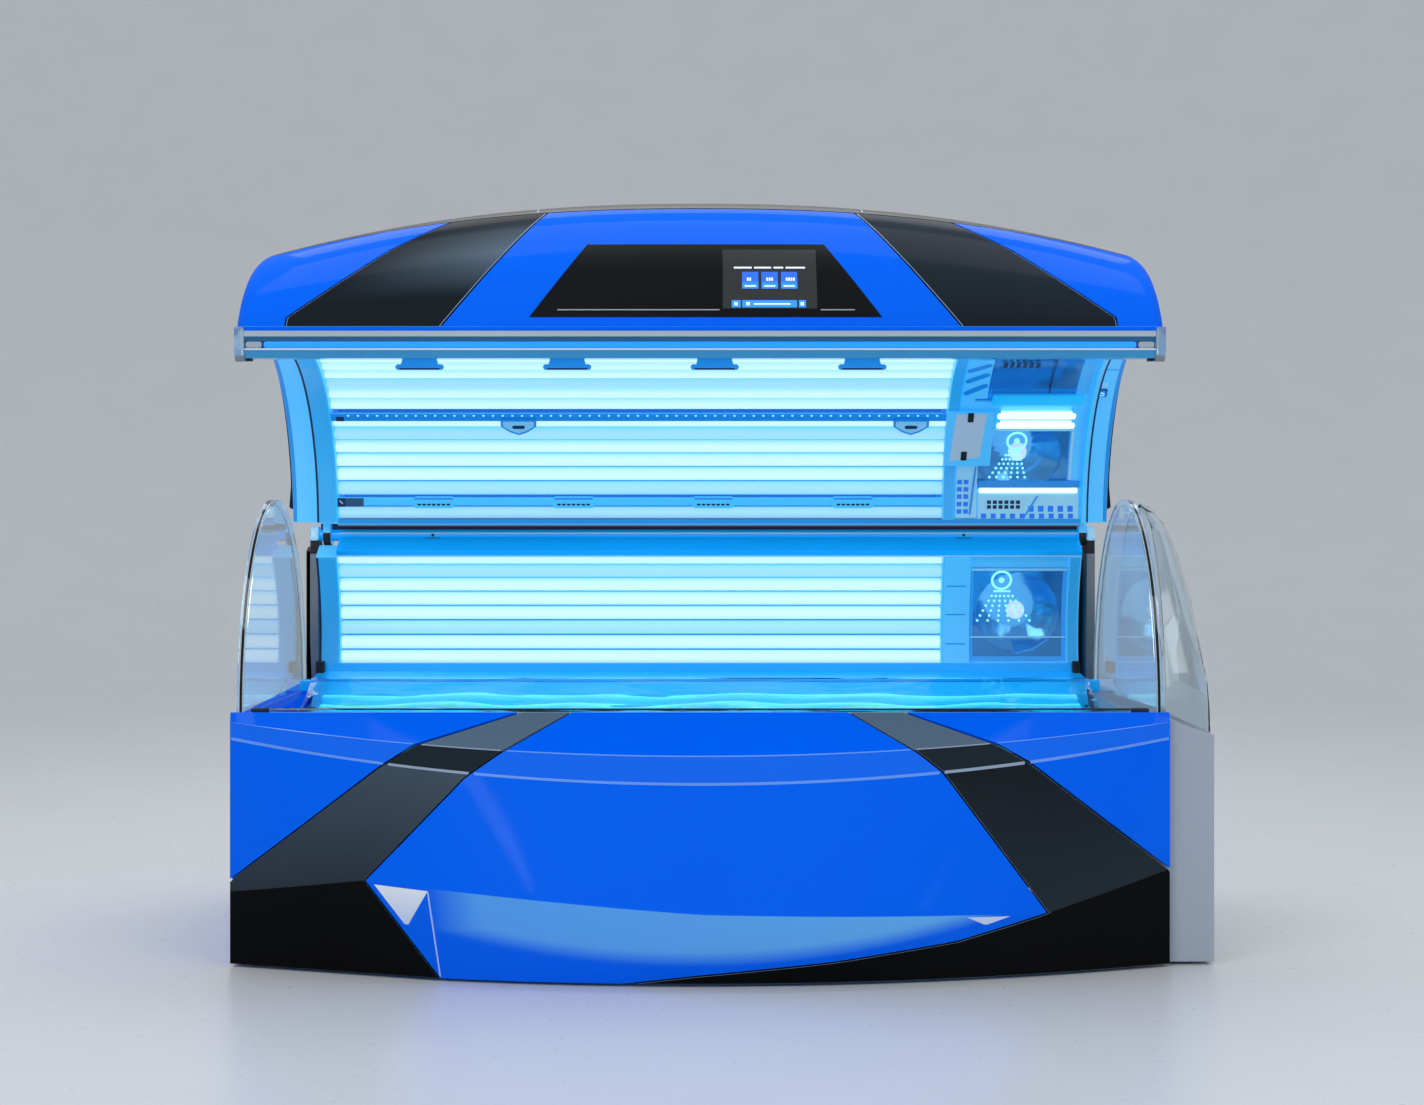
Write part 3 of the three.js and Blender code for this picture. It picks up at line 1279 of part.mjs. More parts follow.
function archOutline(inset) {
  const reach = Math.hypot(SHIELD_FRONT_X - SHIELD_REAR_X, SHIELD_REAR_Y - SHIELD_FRONT_Y) / 2;
  const low = SHELF_Z + FIT;
  const high = SHIELD_TOP_Z - low;
  const steps = 24;
  const arch = Array.from({ length: steps + 1 }, (_, i) => {
    const a = (Math.PI * i) / steps;
    return [(reach - inset) * Math.cos(a), low + (high - inset) * Math.sin(a)];
  });
  return arch;
}

function shield(side, name) {
  const plate = alongX(archOutline(0), -SHIELD_T / 2, SHIELD_T / 2);
  const hollow = alongX(archOutline(SHIELD_RIM), -BEYOND, BEYOND);
  const rim = alongX(archOutline(0), -SHIELD_RIM_T / 2, SHIELD_RIM_T / 2).subtract(hollow);
  const mesh = piece(name, plate.add(rim), CLEAR);
  const lean = Math.atan2(SHIELD_FRONT_X - SHIELD_REAR_X, SHIELD_REAR_Y - SHIELD_FRONT_Y);
  mesh.rotation.z = side * lean;
  const x = (side * (SHIELD_FRONT_X + SHIELD_REAR_X)) / 2;
  mesh.position.set(x, (SHIELD_FRONT_Y + SHIELD_REAR_Y) / 2, 0);
  return mesh;
}

function hood() {
  const x0 = SHIELD_FRONT_X + SHIELD_RIM_T;
  const x1 = HOUSING_X1 - HOOD_WALL;
  const reach = (SHIELD_REAR_Y - SHIELD_FRONT_Y) / 2;
  const middle = (SHIELD_REAR_Y + SHIELD_FRONT_Y) / 2;
  const high = SHIELD_TOP_Z - HOUSING_EDGE_Z;
  const steps = 14;
  const shape = (x, wide, tall) => ({
    x,
    points: Array.from({ length: steps + 1 }, (_, i) => {
      const a = (Math.PI * i) / steps;
      return [middle + wide * Math.cos(a), HOUSING_EDGE_Z - 10 + tall * Math.sin(a)];
    }),
  });
  const stations = Array.from({ length: 6 }, (_, i) => i / 5);
  const skin = (wall, from, to) => {
    return loft(
      stations.map((u) => {
        const fall = Math.sqrt(1 - (0.86 * u) ** 2);
        const wide = reach * (0.86 + 0.14 * fall) - wall;
        return shape(from + (to - from) * u, wide, high * fall - wall);
      }),
    );
  };
  const body = skin(0, x0, x1).subtract(skin(HOOD_WALL, x0 - 1, x1 - HOOD_WALL));
  const outline = [
    [0, 0],
    [HOUSING_X1, 0],
    [HOUSING_X1, HOUSING_EDGE_Z + FIT],
    [HOUSING_X0, SHELF_Z + FIT],
    [0, SHELF_Z + FIT],
  ];
  const below = alongY(outline, -FRONT_HALF, FRONT_HALF);
  return piece("hood_right", body.subtract(below), CLEAR);
}

// Assembly

const bench = benchParts();
const base = new THREE.Group();
base.add(
  piece("base_frame", chassis(bench.trayR), STEEL),
  ...feet(),
  ...frontPanels(),
  rearCover(),
  ...endCovers(),
  ...baseInside(),
  ...bench.nodes,
  ...hingeParts(),
  shield(-1, "shield_left"),
  shield(1, "shield_right"),
  hood(),
);

const canopy = new THREE.Group();
canopy.add(...coverPanels(), ...lipParts(), ...canopyInside(), ...headUnit());

// The origin is on the floor, under the middle of the whole bed.
const bed = new THREE.Group();
bed.add(base, canopy);
const extent = new THREE.Box3().setFromObject(bed);
const middle = extent.getCenter(new THREE.Vector3());
bed.position.set(-middle.x, -middle.y, -extent.min.z);

export default bed;
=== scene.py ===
"""Clamshell tanning bed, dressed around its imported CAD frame.

Sizes are millimetres in the bed's own frame: X along the bed, Y to the back, Z up, with the lamp
tunnel's middle at X = 0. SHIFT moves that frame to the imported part, and MM turns it into metres.
"""

import json
import math

import bmesh
import bpy
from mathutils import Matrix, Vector


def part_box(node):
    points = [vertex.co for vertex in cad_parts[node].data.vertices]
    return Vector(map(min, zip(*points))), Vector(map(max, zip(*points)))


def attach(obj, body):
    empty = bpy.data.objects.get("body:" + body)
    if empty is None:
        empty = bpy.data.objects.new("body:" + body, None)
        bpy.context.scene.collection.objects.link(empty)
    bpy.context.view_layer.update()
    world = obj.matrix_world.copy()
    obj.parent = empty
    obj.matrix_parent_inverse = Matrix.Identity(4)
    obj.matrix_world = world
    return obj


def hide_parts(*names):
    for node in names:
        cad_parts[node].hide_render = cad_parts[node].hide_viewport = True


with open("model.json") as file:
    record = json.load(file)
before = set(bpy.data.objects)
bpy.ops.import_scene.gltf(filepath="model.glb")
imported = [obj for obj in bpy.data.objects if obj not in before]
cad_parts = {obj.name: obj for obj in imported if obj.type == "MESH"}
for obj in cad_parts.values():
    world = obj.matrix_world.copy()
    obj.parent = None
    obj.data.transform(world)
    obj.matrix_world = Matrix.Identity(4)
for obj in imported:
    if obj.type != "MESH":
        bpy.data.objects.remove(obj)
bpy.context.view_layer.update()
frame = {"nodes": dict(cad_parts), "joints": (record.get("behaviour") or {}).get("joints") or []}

MM = 0.001
FIT = 0.3
FRONT_HALF = 1150.0
HINGE_Y = 205.0
HINGE_Z = 1037.0
HINGE = next(j for j in frame["joints"] if j["name"] == "canopy_hinge")
SHIFT = Vector((
    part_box("front_corner_left")[0].x / MM + FRONT_HALF,
    HINGE["pos_m"][1] / MM - HINGE_Y,
    0.0,
))


def span(node):
    """A node's lowest and highest corners in the bed's own frame."""
    return [Vector(corner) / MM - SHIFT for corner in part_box(node)]


# Lamp tunnels: arcs about lines along X, with angles in degrees from +Y towards +Z
CANOPY_ARC = (-318.0, 1055.0)
BASE_ARC = (-280.0, 751.0)
TRIM_R = 470.0
PANE_R = 478.0
UNIT_R = 482.0
LAMP_R = 507.0
LAMP_D = 38.0
LAMP_PITCH = 4.67
OUTER_R = 545.6
FLANGE_R = 512.0
CANOPY_LAMPS = [(5.5, 1), (13.1, 6), (43.3, 11)]
AIR_ANGLE = 9.1
LIGHT_ANGLE = 39.9
BASE_FIRST_LAMP = -6.0
BASE_LAMPS = 8
CANOPY_START, CANOPY_END = 2.0, 99.0
BASE_START, BASE_END = -9.5, 29.0
RAIL_SPAN = 2.4
HOLDER_W = 14.0

# Stations along the bed, from the nodes that set them
BANK_X0, BANK_X1 = (corner.x for corner in span("canopy_pane"))
LAMP_X0, LAMP_X1 = BANK_X0 + HOLDER_W, BANK_X1 - HOLDER_W
CHEEK_X0, CHEEK_X1 = (corner.x for corner in span("base_end_plate_left"))
PARTITION_X0, HEAD_X1 = (corner.x for corner in span("face_frame"))
PARTITION_X1 = PARTITION_X0 + 32
HEAD_CHEEK_X0, FLANGE_END = (corner.x for corner in span("canopy_end_plate_right"))
HEAD_CHEEK_X1 = HEAD_CHEEK_X0 + 20

# Canopy cover
CANOPY_HALF = 1140.0
LIP_Y = -505.0
LIP_Z = 1566.0
COVER_DEPTH = 795.0
COVER_RISE = 353.5
COVER_FALL = 462.0
CREST_Y = -230.0
CREST_DROP = 0.41
CREST_POWER = 2.3
COVER_WALL = 5.0
SEAM = 4.0
END_ROUND = 34.0

# Base front
RIM_Y = -500.0
RIM_Z = 622.0
FRONT_Y = -505.0
FRONT_WALL = 9.0
HEM_Z = 8.0


# Shapes

def on_arc(arc, radius, degrees):
    turn = math.radians(degrees)
    return arc[0] + radius * math.cos(turn), arc[1] + radius * math.sin(turn)


def spread(a, b, steps):
    return [a + (b - a) * i / steps for i in range(steps + 1)]


def blend(points, t):
    """A point on the smooth curve through points, at t counted in points."""
    k = min(int(t), len(points) - 2)
    u = t - k
    p = [points[min(max(k + i, 0), len(points) - 1)] for i in (-1, 0, 1, 2)]
    weights = (
        (-u + 2 * u**2 - u**3) / 2,
        (2 - 5 * u**2 + 3 * u**3) / 2,
        (u + 4 * u**2 - 3 * u**3) / 2,
        (u**3 - u**2) / 2,
    )
    return tuple(sum(w * q[i] for w, q in zip(weights, p)) for i in range(len(points[0])))


def along(line, z):
    """x on a polyline of (x, z) points whose z rises, and its slope dx/dz."""
    k = 0
    while k < len(line) - 2 and z > line[k + 1][1]:
        k += 1
    (x0, z0), (x1, z1) = line[k], line[k + 1]
    slope = (x1 - x0) / (z1 - z0)
    return x0 + slope * (z - z0), slope


class Shape:
    """Corners in millimetres and faces, with one number kept for each corner."""

    def __init__(self):
        self.points = []
        self.faces = []
        self.marks = []

    def add(self, points, faces, marks=None):
        base = len(self.points)
        self.points += points
        self.faces += [[base + i for i in face] for face in faces]
        self.marks += marks or [0.0] * len(points)
        return self

    def grid(self, rows, around=False, marks=None):
        wide = len(rows[0])
        last = wide if around else wide - 1
        faces = []
        for i in range(len(rows) - 1):
            for j in range(last):
                k = (j + 1) % wide
                faces.append([i * wide + j, i * wide + k, (i + 1) * wide + k, (i + 1) * wide + j])
        return self.add([p for row in rows for p in row], faces, marks)

    def prism(self, outline, place, w0, w1):
        """A flat outline of (u, v) points, made thick from w0 to w1 by place(u, v, w)."""
        n = len(outline)
        points = [place(u, v, w) for w in (w0, w1) for u, v in outline]
        sides = [[i, (i + 1) % n, n + (i + 1) % n, n + i] for i in range(n)]
        return self.add(points, [list(range(n))[::-1], list(range(n, 2 * n)), *sides])

    def collar(self, outer, inner, place, w0, w1):
        """The band between two outlines of as many points, made thick from w0 to w1."""
        n = len(outer)
        points = []
        for line, w in ((outer, w0), (outer, w1), (inner, w1), (inner, w0)):
            points += [place(u, v, w) for u, v in line]
        faces = []
        for ring in range(4):
            near, far = ring * n, (ring + 1) % 4 * n
            faces += [[near + i, near + (i + 1) % n, far + (i + 1) % n, far + i] for i in range(n)]
        return self.add(points, faces)

    def sweep(self, profile, x0, x1):
        """A closed (y, z) profile carried along X."""
        return self.prism(profile, lambda y, z, x: (x, y, z), x0, x1)

    def arc_band(self, arc, r0, r1, a0, a1, x0, x1, step=2.0):
        """A sheet bent about a tunnel's line, between two radii and two angles."""
        steps = max(1, round(abs(a1 - a0) / step))
        angles = spread(a0, a1, steps)
        ring = [on_arc(arc, r0, a) for a in angles] + [on_arc(arc, r1, a) for a in angles[::-1]]
        n = len(ring)
        points = [(x, y, z) for x in (x0, x1) for y, z in ring]
        faces = [[i, (i + 1) % n, n + (i + 1) % n, n + i] for i in range(n)]
        for i in range(steps):
            quad = [i, i + 1, n - 2 - i, n - 1 - i]
            faces += [quad[::-1], [n + q for q in quad]]
        return self.add(points, faces)

    def lathe(self, profile, centre, axis, steps=24):
        """(radius, height) points turned about an axis, closed at both ends."""
        axis = Vector(axis).normalized()
        side = axis.orthogonal().normalized()
        across = axis.cross(side)
        turns = [2 * math.pi * i / steps for i in range(steps)]
        base = len(self.points)
        self.grid([
            [
                tuple(Vector(centre) + axis * height + (side * math.cos(a) + across * math.sin(a)) * radius)
                for a in turns
            ]
            for radius, height in profile
        ], around=True)
        end = base + steps * (len(profile) - 1)
        self.faces += [[base + i for i in range(steps)][::-1], [end + i for i in range(steps)]]
        return self


def rounded(u0, u1, v0, v1, radius, steps=4):
    """A rectangle with round corners."""
    corners = [(u1 - radius, v0 + radius, -90), (u1 - radius, v1 - radius, 0),
               (u0 + radius, v1 - radius, 90), (u0 + radius, v0 + radius, 180)]
    turns = [(u, v, math.radians(a + 90 * i / steps)) for u, v, a in corners for i in range(steps + 1)]
    return [(u + radius * math.cos(a), v + radius * math.sin(a)) for u, v, a in turns]


def disc(u, v, radius, steps=12):
    turns = [2 * math.pi * i / steps for i in range(steps)]
    return [(u + radius * math.cos(a), v + radius * math.sin(a)) for a in turns]


def stadium(start, end, width, steps=5):
    """A bar with round ends between two points."""
    heading = math.atan2(end[1] - start[1], end[0] - start[0])
    outline = []
    for (u, v), first in ((end, heading - math.pi / 2), (start, heading + math.pi / 2)):
        for a in spread(first, first + math.pi, steps):
            outline.append((u + width / 2 * math.cos(a), v + width / 2 * math.sin(a)))
    return outline


def on_sheet(arc, radius, degrees):
    """Places (along X, up the sheet, off the sheet) on the inside of an arc."""
    def place(u, v, w):
        return (u, *on_arc(arc, radius - w, degrees + math.degrees(v / radius)))
    return place


def on_flat(arc, radius, degrees, x=0.0):
    """Places (along X, up, inward) on the flat that touches an arc at one angle."""
    y, z = on_arc(arc, radius, degrees)
    turn = math.radians(degrees)

    def place(u, v, w):
        return (
            x + u,
            y - v * math.sin(turn) - w * math.cos(turn),
            z + v * math.cos(turn) - w * math.sin(turn),
        )
    return place


def upright(u, v, w):
    """(along X, up, forward) as a place."""
    return u, -w, v


def block(x0, x1, y0, y1, z0, z1, shape=None):
    return (shape or Shape()).prism([(x0, y0), (x1, y0), (x1, y1), (x0, y1)], lambda x, y, z: (x, y, z), z0, z1)


# Finishes

def shade_group():
    """Geometry nodes that shade smooth, with edges over 32 degrees left sharp."""
    group = bpy.data.node_groups.new("smooth_faces", "GeometryNodeTree")
    group.interface.new_socket("Geometry", in_out="INPUT", socket_type="NodeSocketGeometry")
    group.interface.new_socket("Geometry", in_out="OUTPUT", socket_type="NodeSocketGeometry")
    make = group.nodes.new
    start, end = make("NodeGroupInput"), make("NodeGroupOutput")
    faces, edges = make("GeometryNodeSetShadeSmooth"), make("GeometryNodeSetShadeSmooth")
    faces.domain, edges.domain = "FACE", "EDGE"
    angle, limit = make("GeometryNodeInputMeshEdgeAngle"), make("FunctionNodeCompare")
    limit.data_type, limit.operation = "FLOAT", "LESS_THAN"
    limit.inputs["B"].default_value = math.radians(32)
    link = group.links.new
    link(start.outputs[0], faces.inputs["Geometry"])
    link(faces.outputs[0], edges.inputs["Geometry"])
    link(angle.outputs["Unsigned Angle"], limit.inputs["A"])
    link(limit.outputs[0], edges.inputs["Shade Smooth"])
    link(edges.outputs[0], end.inputs[0])
    return group


SMOOTH = shade_group()


def linear(code):
    """A written #rrggbb colour as the linear numbers that shaders take."""
    parts = [int(code[i:i + 2], 16) / 255 for i in (1, 3, 5)]
    return [c / 12.92 if c <= 0.04045 else ((c + 0.055) / 1.055) ** 2.4 for c in parts]


def marked(nodes, link, low, high):
    """A colour that runs from low to high with the mark kept on the mesh."""
    mark, mixed = nodes.new("ShaderNodeAttribute"), nodes.new("ShaderNodeMix")
    mark.attribute_name = "mark"
    mixed.data_type = "RGBA"
    for socket, colour in (("A", low), ("B", high)):
        if isinstance(colour, str):
            mixed.inputs[socket].default_value = linear(colour) + [1]
        else:
            link(colour, mixed.inputs[socket])
    link(mark.outputs["Fac"], mixed.inputs["Factor"])
    return mixed.outputs["Result"]


def finish(name, code, rough, vary=0.08, grain=(700.0, 0.03), stretch=(1, 1, 1), cloud=2.5, deep=1.0,
           tint=None, **sockets):
    """A procedural finish: clouded colour, uneven roughness and a fine grain in the surface."""
    made = bpy.data.materials.new(name)
    made.use_nodes = True
    nodes, link = made.node_tree.nodes, made.node_tree.links.new
    shader = nodes["Principled BSDF"]
    where, scaled = nodes.new("ShaderNodeTexCoord"), nodes.new("ShaderNodeMapping")
    scaled.inputs["Scale"].default_value = stretch
    link(where.outputs["Object"], scaled.inputs["Vector"])
    clouds, fine = nodes.new("ShaderNodeTexNoise"), nodes.new("ShaderNodeTexNoise")
    clouds.inputs["Scale"].default_value = cloud
    clouds.inputs["Detail"].default_value = 4.0
    fine.inputs["Scale"].default_value = grain[0]
    fine.inputs["Detail"].default_value = 2.0
    link(where.outputs["Object"], clouds.inputs["Vector"])
    link(scaled.outputs[0], fine.inputs["Vector"])
    tone = nodes.new("ShaderNodeMix")
    tone.data_type = "RGBA"
    colour = linear(code)
    tone.inputs["A"].default_value = [c * (1 - vary) for c in colour] + [1]
    tone.inputs["B"].default_value = [min(1, c * (1 + vary)) for c in colour] + [1]
    link(clouds.outputs["Fac"], tone.inputs["Factor"])
    shown = tone.outputs["Result"]
    if tint:
        shown = marked(nodes, link, shown, tint)
    link(shown, shader.inputs["Base Color"])
    uneven = nodes.new("ShaderNodeMapRange")
    uneven.inputs["To Min"].default_value = rough * 0.8
    uneven.inputs["To Max"].default_value = rough * 1.2
    link(fine.outputs["Fac"], uneven.inputs["Value"])
    link(uneven.outputs[0], shader.inputs["Roughness"])
    bump = nodes.new("ShaderNodeBump")
    bump.inputs["Strength"].default_value = grain[1]
    bump.inputs["Distance"].default_value = deep * MM
    link(fine.outputs["Fac"], bump.inputs["Height"])
    link(bump.outputs[0], shader.inputs["Normal"])
    for socket, value in sockets.items():
        shader.inputs[socket.replace("_", " ")].default_value = value
    return made


def glow(name, code, strength, rim=None, body=None):
    """A lit finish, whose light runs to rim where the mark on the mesh falls to 0."""
    made = finish(name, body or code, 0.35)
    nodes, link = made.node_tree.nodes, made.node_tree.links.new
    shader = nodes["Principled BSDF"]
    shader.inputs["Emission Strength"].default_value = strength
    shader.inputs["Emission Color"].default_value = linear(code) + [1]
    if rim:
        link(marked(nodes, link, rim, code), shader.inputs["Emission Color"])
    return made


# BLUE's tint is the pale colour of painted light on the base front: the painted floor reflection and the faint painted
# lightening between the creases.
BLUE = finish("blue_gloss", "#0068ff", 0.36, vary=0.05, grain=(260, 0.012), tint="#8be4ff",
              Specular_IOR_Level=0.0, Coat_Weight=0.14, Coat_Roughness=0.06)
GLINT = finish("blue_glint", "#4c95ff", 0.3, vary=0.05, grain=(260, 0.012), tint="#f4faff", Coat_Weight=0.2)
BLACK = finish("black_satin", "#0c0f13", 0.4, vary=0.25, grain=(900, 0.06), Specular_IOR_Level=0.05,
               Coat_Weight=0.14, Coat_Roughness=0.2)
# STRIPE's tint is the grey of painted highlights and painted sheen on the black stripes, as far as the mark on the mesh
# asks.
STRIPE = finish("stripe_satin", "#050607", 0.44, vary=0.2, grain=(900, 0.06), tint="#5a6e80",
                Specular_IOR_Level=0.0, Coat_Weight=0.14, Coat_Roughness=0.16)
# Painted highlight: a pale grey that stands in for light caught along the black stripes' bevelled edges and creases;
# the rear and roof seams take it as pale lines.
EDGE = finish("pale_seam_and_edge_highlight", "#8ea3bd", 0.3, vary=0.1, Coat_Weight=0.4)
# Painted highlight: a pale blue for lines along the base front's creases and round the left end's raised field.
BLUE_HIGHLIGHT_LINE = finish("blue_highlight_line", "#5e9bff", 0.3, vary=0.08, Coat_Weight=0.4)
# Painted lamp light: this glow colour and the three finishes after it give the tunnel's plastics cyan and blue colours
# and a faint cyan glow, standing in for the lamps' light falling on them.
PAINTED_TUNNEL_GLOW = linear("#2fb4f8") + [1]
PALE_PAINTED_GLOW = finish("pale_plastic_painted_glow", "#6cccff", 0.36, vary=0.1, grain=(1100, 0.05), cloud=1.6, Coat_Weight=0.2,
              Emission_Color=PAINTED_TUNNEL_GLOW, Emission_Strength=0.3)
SOFT_PAINTED_GLOW = finish("soft_plastic_painted_glow", "#b4eaff", 0.36, vary=0.08, grain=(1100, 0.05), cloud=3.0, Coat_Weight=0.2,
              Emission_Color=PAINTED_TUNNEL_GLOW, Emission_Strength=0.12)
DEEP_TRIM_PAINTED_GLOW = finish("deep_blue_trim_painted_glow", "#1f96e4", 0.3, vary=0.14, grain=(900, 0.04), cloud=4.0, Coat_Weight=0.3,
              Emission_Color=linear("#0a86dc") + [1], Emission_Strength=0.18)
TEAL = finish("teal_trim", "#0e90cc", 0.26, vary=0.12, grain=(400, 0.05), stretch=(0.02, 1, 1), Coat_Weight=0.5)
# Painted lamp light here too: a cyan colour and a faint cyan glow for the bands.
BAND_PAINTED_GLOW = finish("blue_band_painted_glow", "#38b2f0", 0.3, vary=0.1, grain=(900, 0.04), cloud=3.0, Coat_Weight=0.3,
              Emission_Color=PAINTED_TUNNEL_GLOW, Emission_Strength=0.2)
SHADE = finish("shade_trim", "#0b5f8c", 0.3, vary=0.12, grain=(400, 0.04), stretch=(0.02, 1, 1))
# Dark navy for grooves, seams and small dark parts, and also for the painted shade on the lip clips.
NAVY_GROOVE_AND_SHADE = finish("dark_groove_and_shade", "#0b2f5c", 0.45, vary=0.15)
SLATE = finish("slate_block", "#1f5878", 0.4, vary=0.2, cloud=18.0)
WHITE = finish("white_plastic", "#e4eef5", 0.4, vary=0.04, grain=(1000, 0.06))
GREY = finish("grey_housing", "#a5b0be", 0.42, vary=0.06, grain=(1300, 0.12))
STEEL = finish("painted_steel", "#8d949b", 0.45, vary=0.12, grain=(800, 0.1), Metallic=0.7)
RUBBER = finish("rubber", "#121315", 0.6, vary=0.25, grain=(1500, 0.25))
ALUMINIUM = finish("brushed_aluminium", "#c3d2dc", 0.3, vary=0.1, grain=(500, 0.09), stretch=(0.02, 1, 1),
                   Metallic=0.6)
# Painted lamp light: the rails' cyan colour and faint cyan glow stand in for the lamps' light on them.
RAIL_PAINTED_GLOW = finish("blue_rail_painted_glow", "#10a4f4", 0.24, vary=0.12, grain=(500, 0.06), stretch=(0.02, 1, 1),
              Coat_Weight=0.3, Metallic=0.2, Emission_Color=linear("#06a4f2") + [1], Emission_Strength=0.32)
MIRROR = finish("mirror_sheet", "#2f9ad8", 0.2, vary=0.1, grain=(90, 0.05), Metallic=0.9)
DISH = finish("dish_mirror", "#6fc0f0", 0.12, vary=0.15, grain=(40, 0.3), Metallic=1.0)
CLEAR = finish("clear_acrylic", "#f2fbff", 0.02, vary=0.01, grain=(8, 0.02), Transmission_Weight=1.0, IOR=1.46)
CAP = finish("cap_acrylic", "#cfe6f4", 0.12, vary=0.05, grain=(60, 0.04), Transmission_Weight=0.7, IOR=1.4)
RIM = finish("acrylic_edge", "#cfe9f8", 0.08, vary=0.1, grain=(40, 0.03), Transmission_Weight=0.4, IOR=1.46)
PANE = finish("lamp_pane", "#bfefff", 0.05, vary=0.03, grain=(12, 0.02), Alpha=0.05)
BENCH = finish("bench_acrylic", "#8fe9fb", 0.03, vary=0.08, grain=(7, 0.9), stretch=(0.35, 1.6, 1), deep=9.0,
               Transmission_Weight=1.0, IOR=1.49)
SMOKED = finish("blue_glass", "#3fa8f0", 0.05, vary=0.2, grain=(10, 0.03), Alpha=0.22)
SCREEN = finish("screen_glass", "#05070b", 0.12, vary=0.3, grain=(400, 0.01), Coat_Weight=0.8,
                Coat_Roughness=0.03)
LAMP = glow("lamp_glass", "#dcf8ff", 0.87, rim="#2fa6de", body="#6fb2cc")
BENCH_LAMP = glow("bench_lamp", "#a8f6ff", 1.15, rim="#0a86b8", body="#6fd0ea")
# Painted lamp light: the bench's tray and back panel, the air rail and the lip clips are no lamps; their glow stands in
# for the lamps' light on them.
TRAY = glow("lit_tray", "#0a86bc", 0.26)
CLIP_PAINTED_GLOW = glow("clip_blue_painted_glow", "#0c8fe6", 0.4)
AIR_PAINTED_GLOW = glow("air_blue_painted_glow", "#3fbcf4", 0.4)
WHITE_LAMP = glow("white_lamp", "#e8fbff", 0.85)
EDGE_LIT = glow("edge_lit", "#22bcf8", 0.35)
SQUARE = glow("blue_lens", "#1677e8", 0.3)
BAR = glow("light_bar", "#1184ff", 0.75)
# This glow is for the LEDs and the button's sign, and for the painted light streaks of the bursts.
LED_AND_PAINTED_STREAKS = glow("led_and_painted_streaks", "#8fe8ff", 0.9)
TILE = glow("screen_tile", "#1f5ff0", 0.6, rim="#2ab4f0")
TILE_PALE = glow("screen_mark", "#d9e8ff", 0.7)


def dress(thing, *finishes, bevel=0.0, weld=False, wall=0.0, segments=2, sharp=35.0):
    """Finishes on a piece, and modifiers that give it a wall, soften its edges and shade it."""
    slots = thing.data.materials
    slots.clear()
    for made in finishes:
        slots.append(made)
    if weld:
        thing.modifiers.new("weld", "WELD").merge_threshold = 0.02 * MM
    if wall:
        solid = thing.modifiers.new("wall", "SOLIDIFY")
        solid.thickness = wall * MM
        solid.offset = -1.0
        solid.use_even_offset = True
    if bevel:
        soft = thing.modifiers.new("edges", "BEVEL")
        soft.width = bevel * MM
        soft.segments = segments
        soft.limit_method = "ANGLE"
        soft.angle_limit = math.radians(sharp)
        soft.use_clamp_overlap = True
        # A second finish goes on the bevel faces; the black stripes use it as a painted highlight along their edges.
        if len(finishes) > 1:
            soft.material = 1
    thing.modifiers.new("shade", "NODES").node_group = SMOOTH
    if bevel:
        thing.modifiers.new("flats", "WEIGHTED_NORMAL").keep_sharp = True


def face_out(mesh):
    """Turn the faces of closed bodies outwards; open sheets keep the side they were given."""
    body = bmesh.new()
    body.from_mesh(mesh)
    if all(len(edge.link_faces) == 2 for edge in body.edges):
        bmesh.ops.recalc_face_normals(body, faces=body.faces)
        body.to_mesh(mesh)
    body.free()


def piece(name, shape, body, slot, *finishes, replaces=(), **looks):
    mesh = bpy.data.meshes.new(name)
    mesh.from_pydata([(Vector(p) + SHIFT) * MM for p in shape.points], [], shape.faces)
    mesh.validate()
    mark = mesh.attributes.new("mark", "FLOAT", "POINT")
    mark.data.foreach_set("value", shape.marks)
    face_out(mesh)
    made = bpy.data.objects.new(name, mesh)
    bpy.context.scene.collection.objects.link(made)
    dress(made, *finishes, **looks)
    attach(made, body)
    if replaces:
        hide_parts(*replaces)
    return made


def dress_node(name, *finishes, bevel=1.0):
    dress(frame["nodes"][name], *finishes, bevel=bevel, weld=True)


# Canopy cover: one domed surface, cut into front panels and a roof

COVER_SHAPE = (
    (0, 0), (0.034, 0.208), (0.107, 0.504), (0.233, 0.786), (0.396, 0.955), (0.585, 1),
    (0.786, 0.885), (0.931, 0.575), (0.994, 0.096), (1, -0.359), (0.965, -0.749), (0.913, -1),
)
COVER_PROFILE = [
    (LIP_Y + back * COVER_DEPTH, LIP_Z + up * (COVER_RISE if up > 0 else COVER_FALL)) for back, up in COVER_SHAPE
]
COVER_LAST = len(COVER_PROFILE) - 1.0


def cover(x, t, out=0.0):
    """A point on the cover at x, t rows back from the lip, and out from the surface."""
    height = 1 - CREST_DROP * (abs(x) / CANOPY_HALF) ** CREST_POWER

    def at(t):
        y, z = blend(COVER_PROFILE, min(max(t, 0.0), COVER_LAST))
        return Vector((y, LIP_Z + (z - LIP_Z) * height if z > LIP_Z else z))

    y, z = at(t)
    if out:
        step = at(t + 0.05) - at(t - 0.05)
        normal = Vector((-step.y, step.x)).normalized()
        y, z = Vector((y, z)) + normal * out
    return x, y, z


def solve(value, target, high):
    """Where a rising function of t reaches a target."""
    low = 0.0
    for _ in range(30):
        middle = (low + high) / 2
        low, high = (middle, high) if value(middle) < target else (low, middle)
    return low


def cover_t(x, z):
    return solve(lambda t: cover(x, t)[2], z, 4.0)


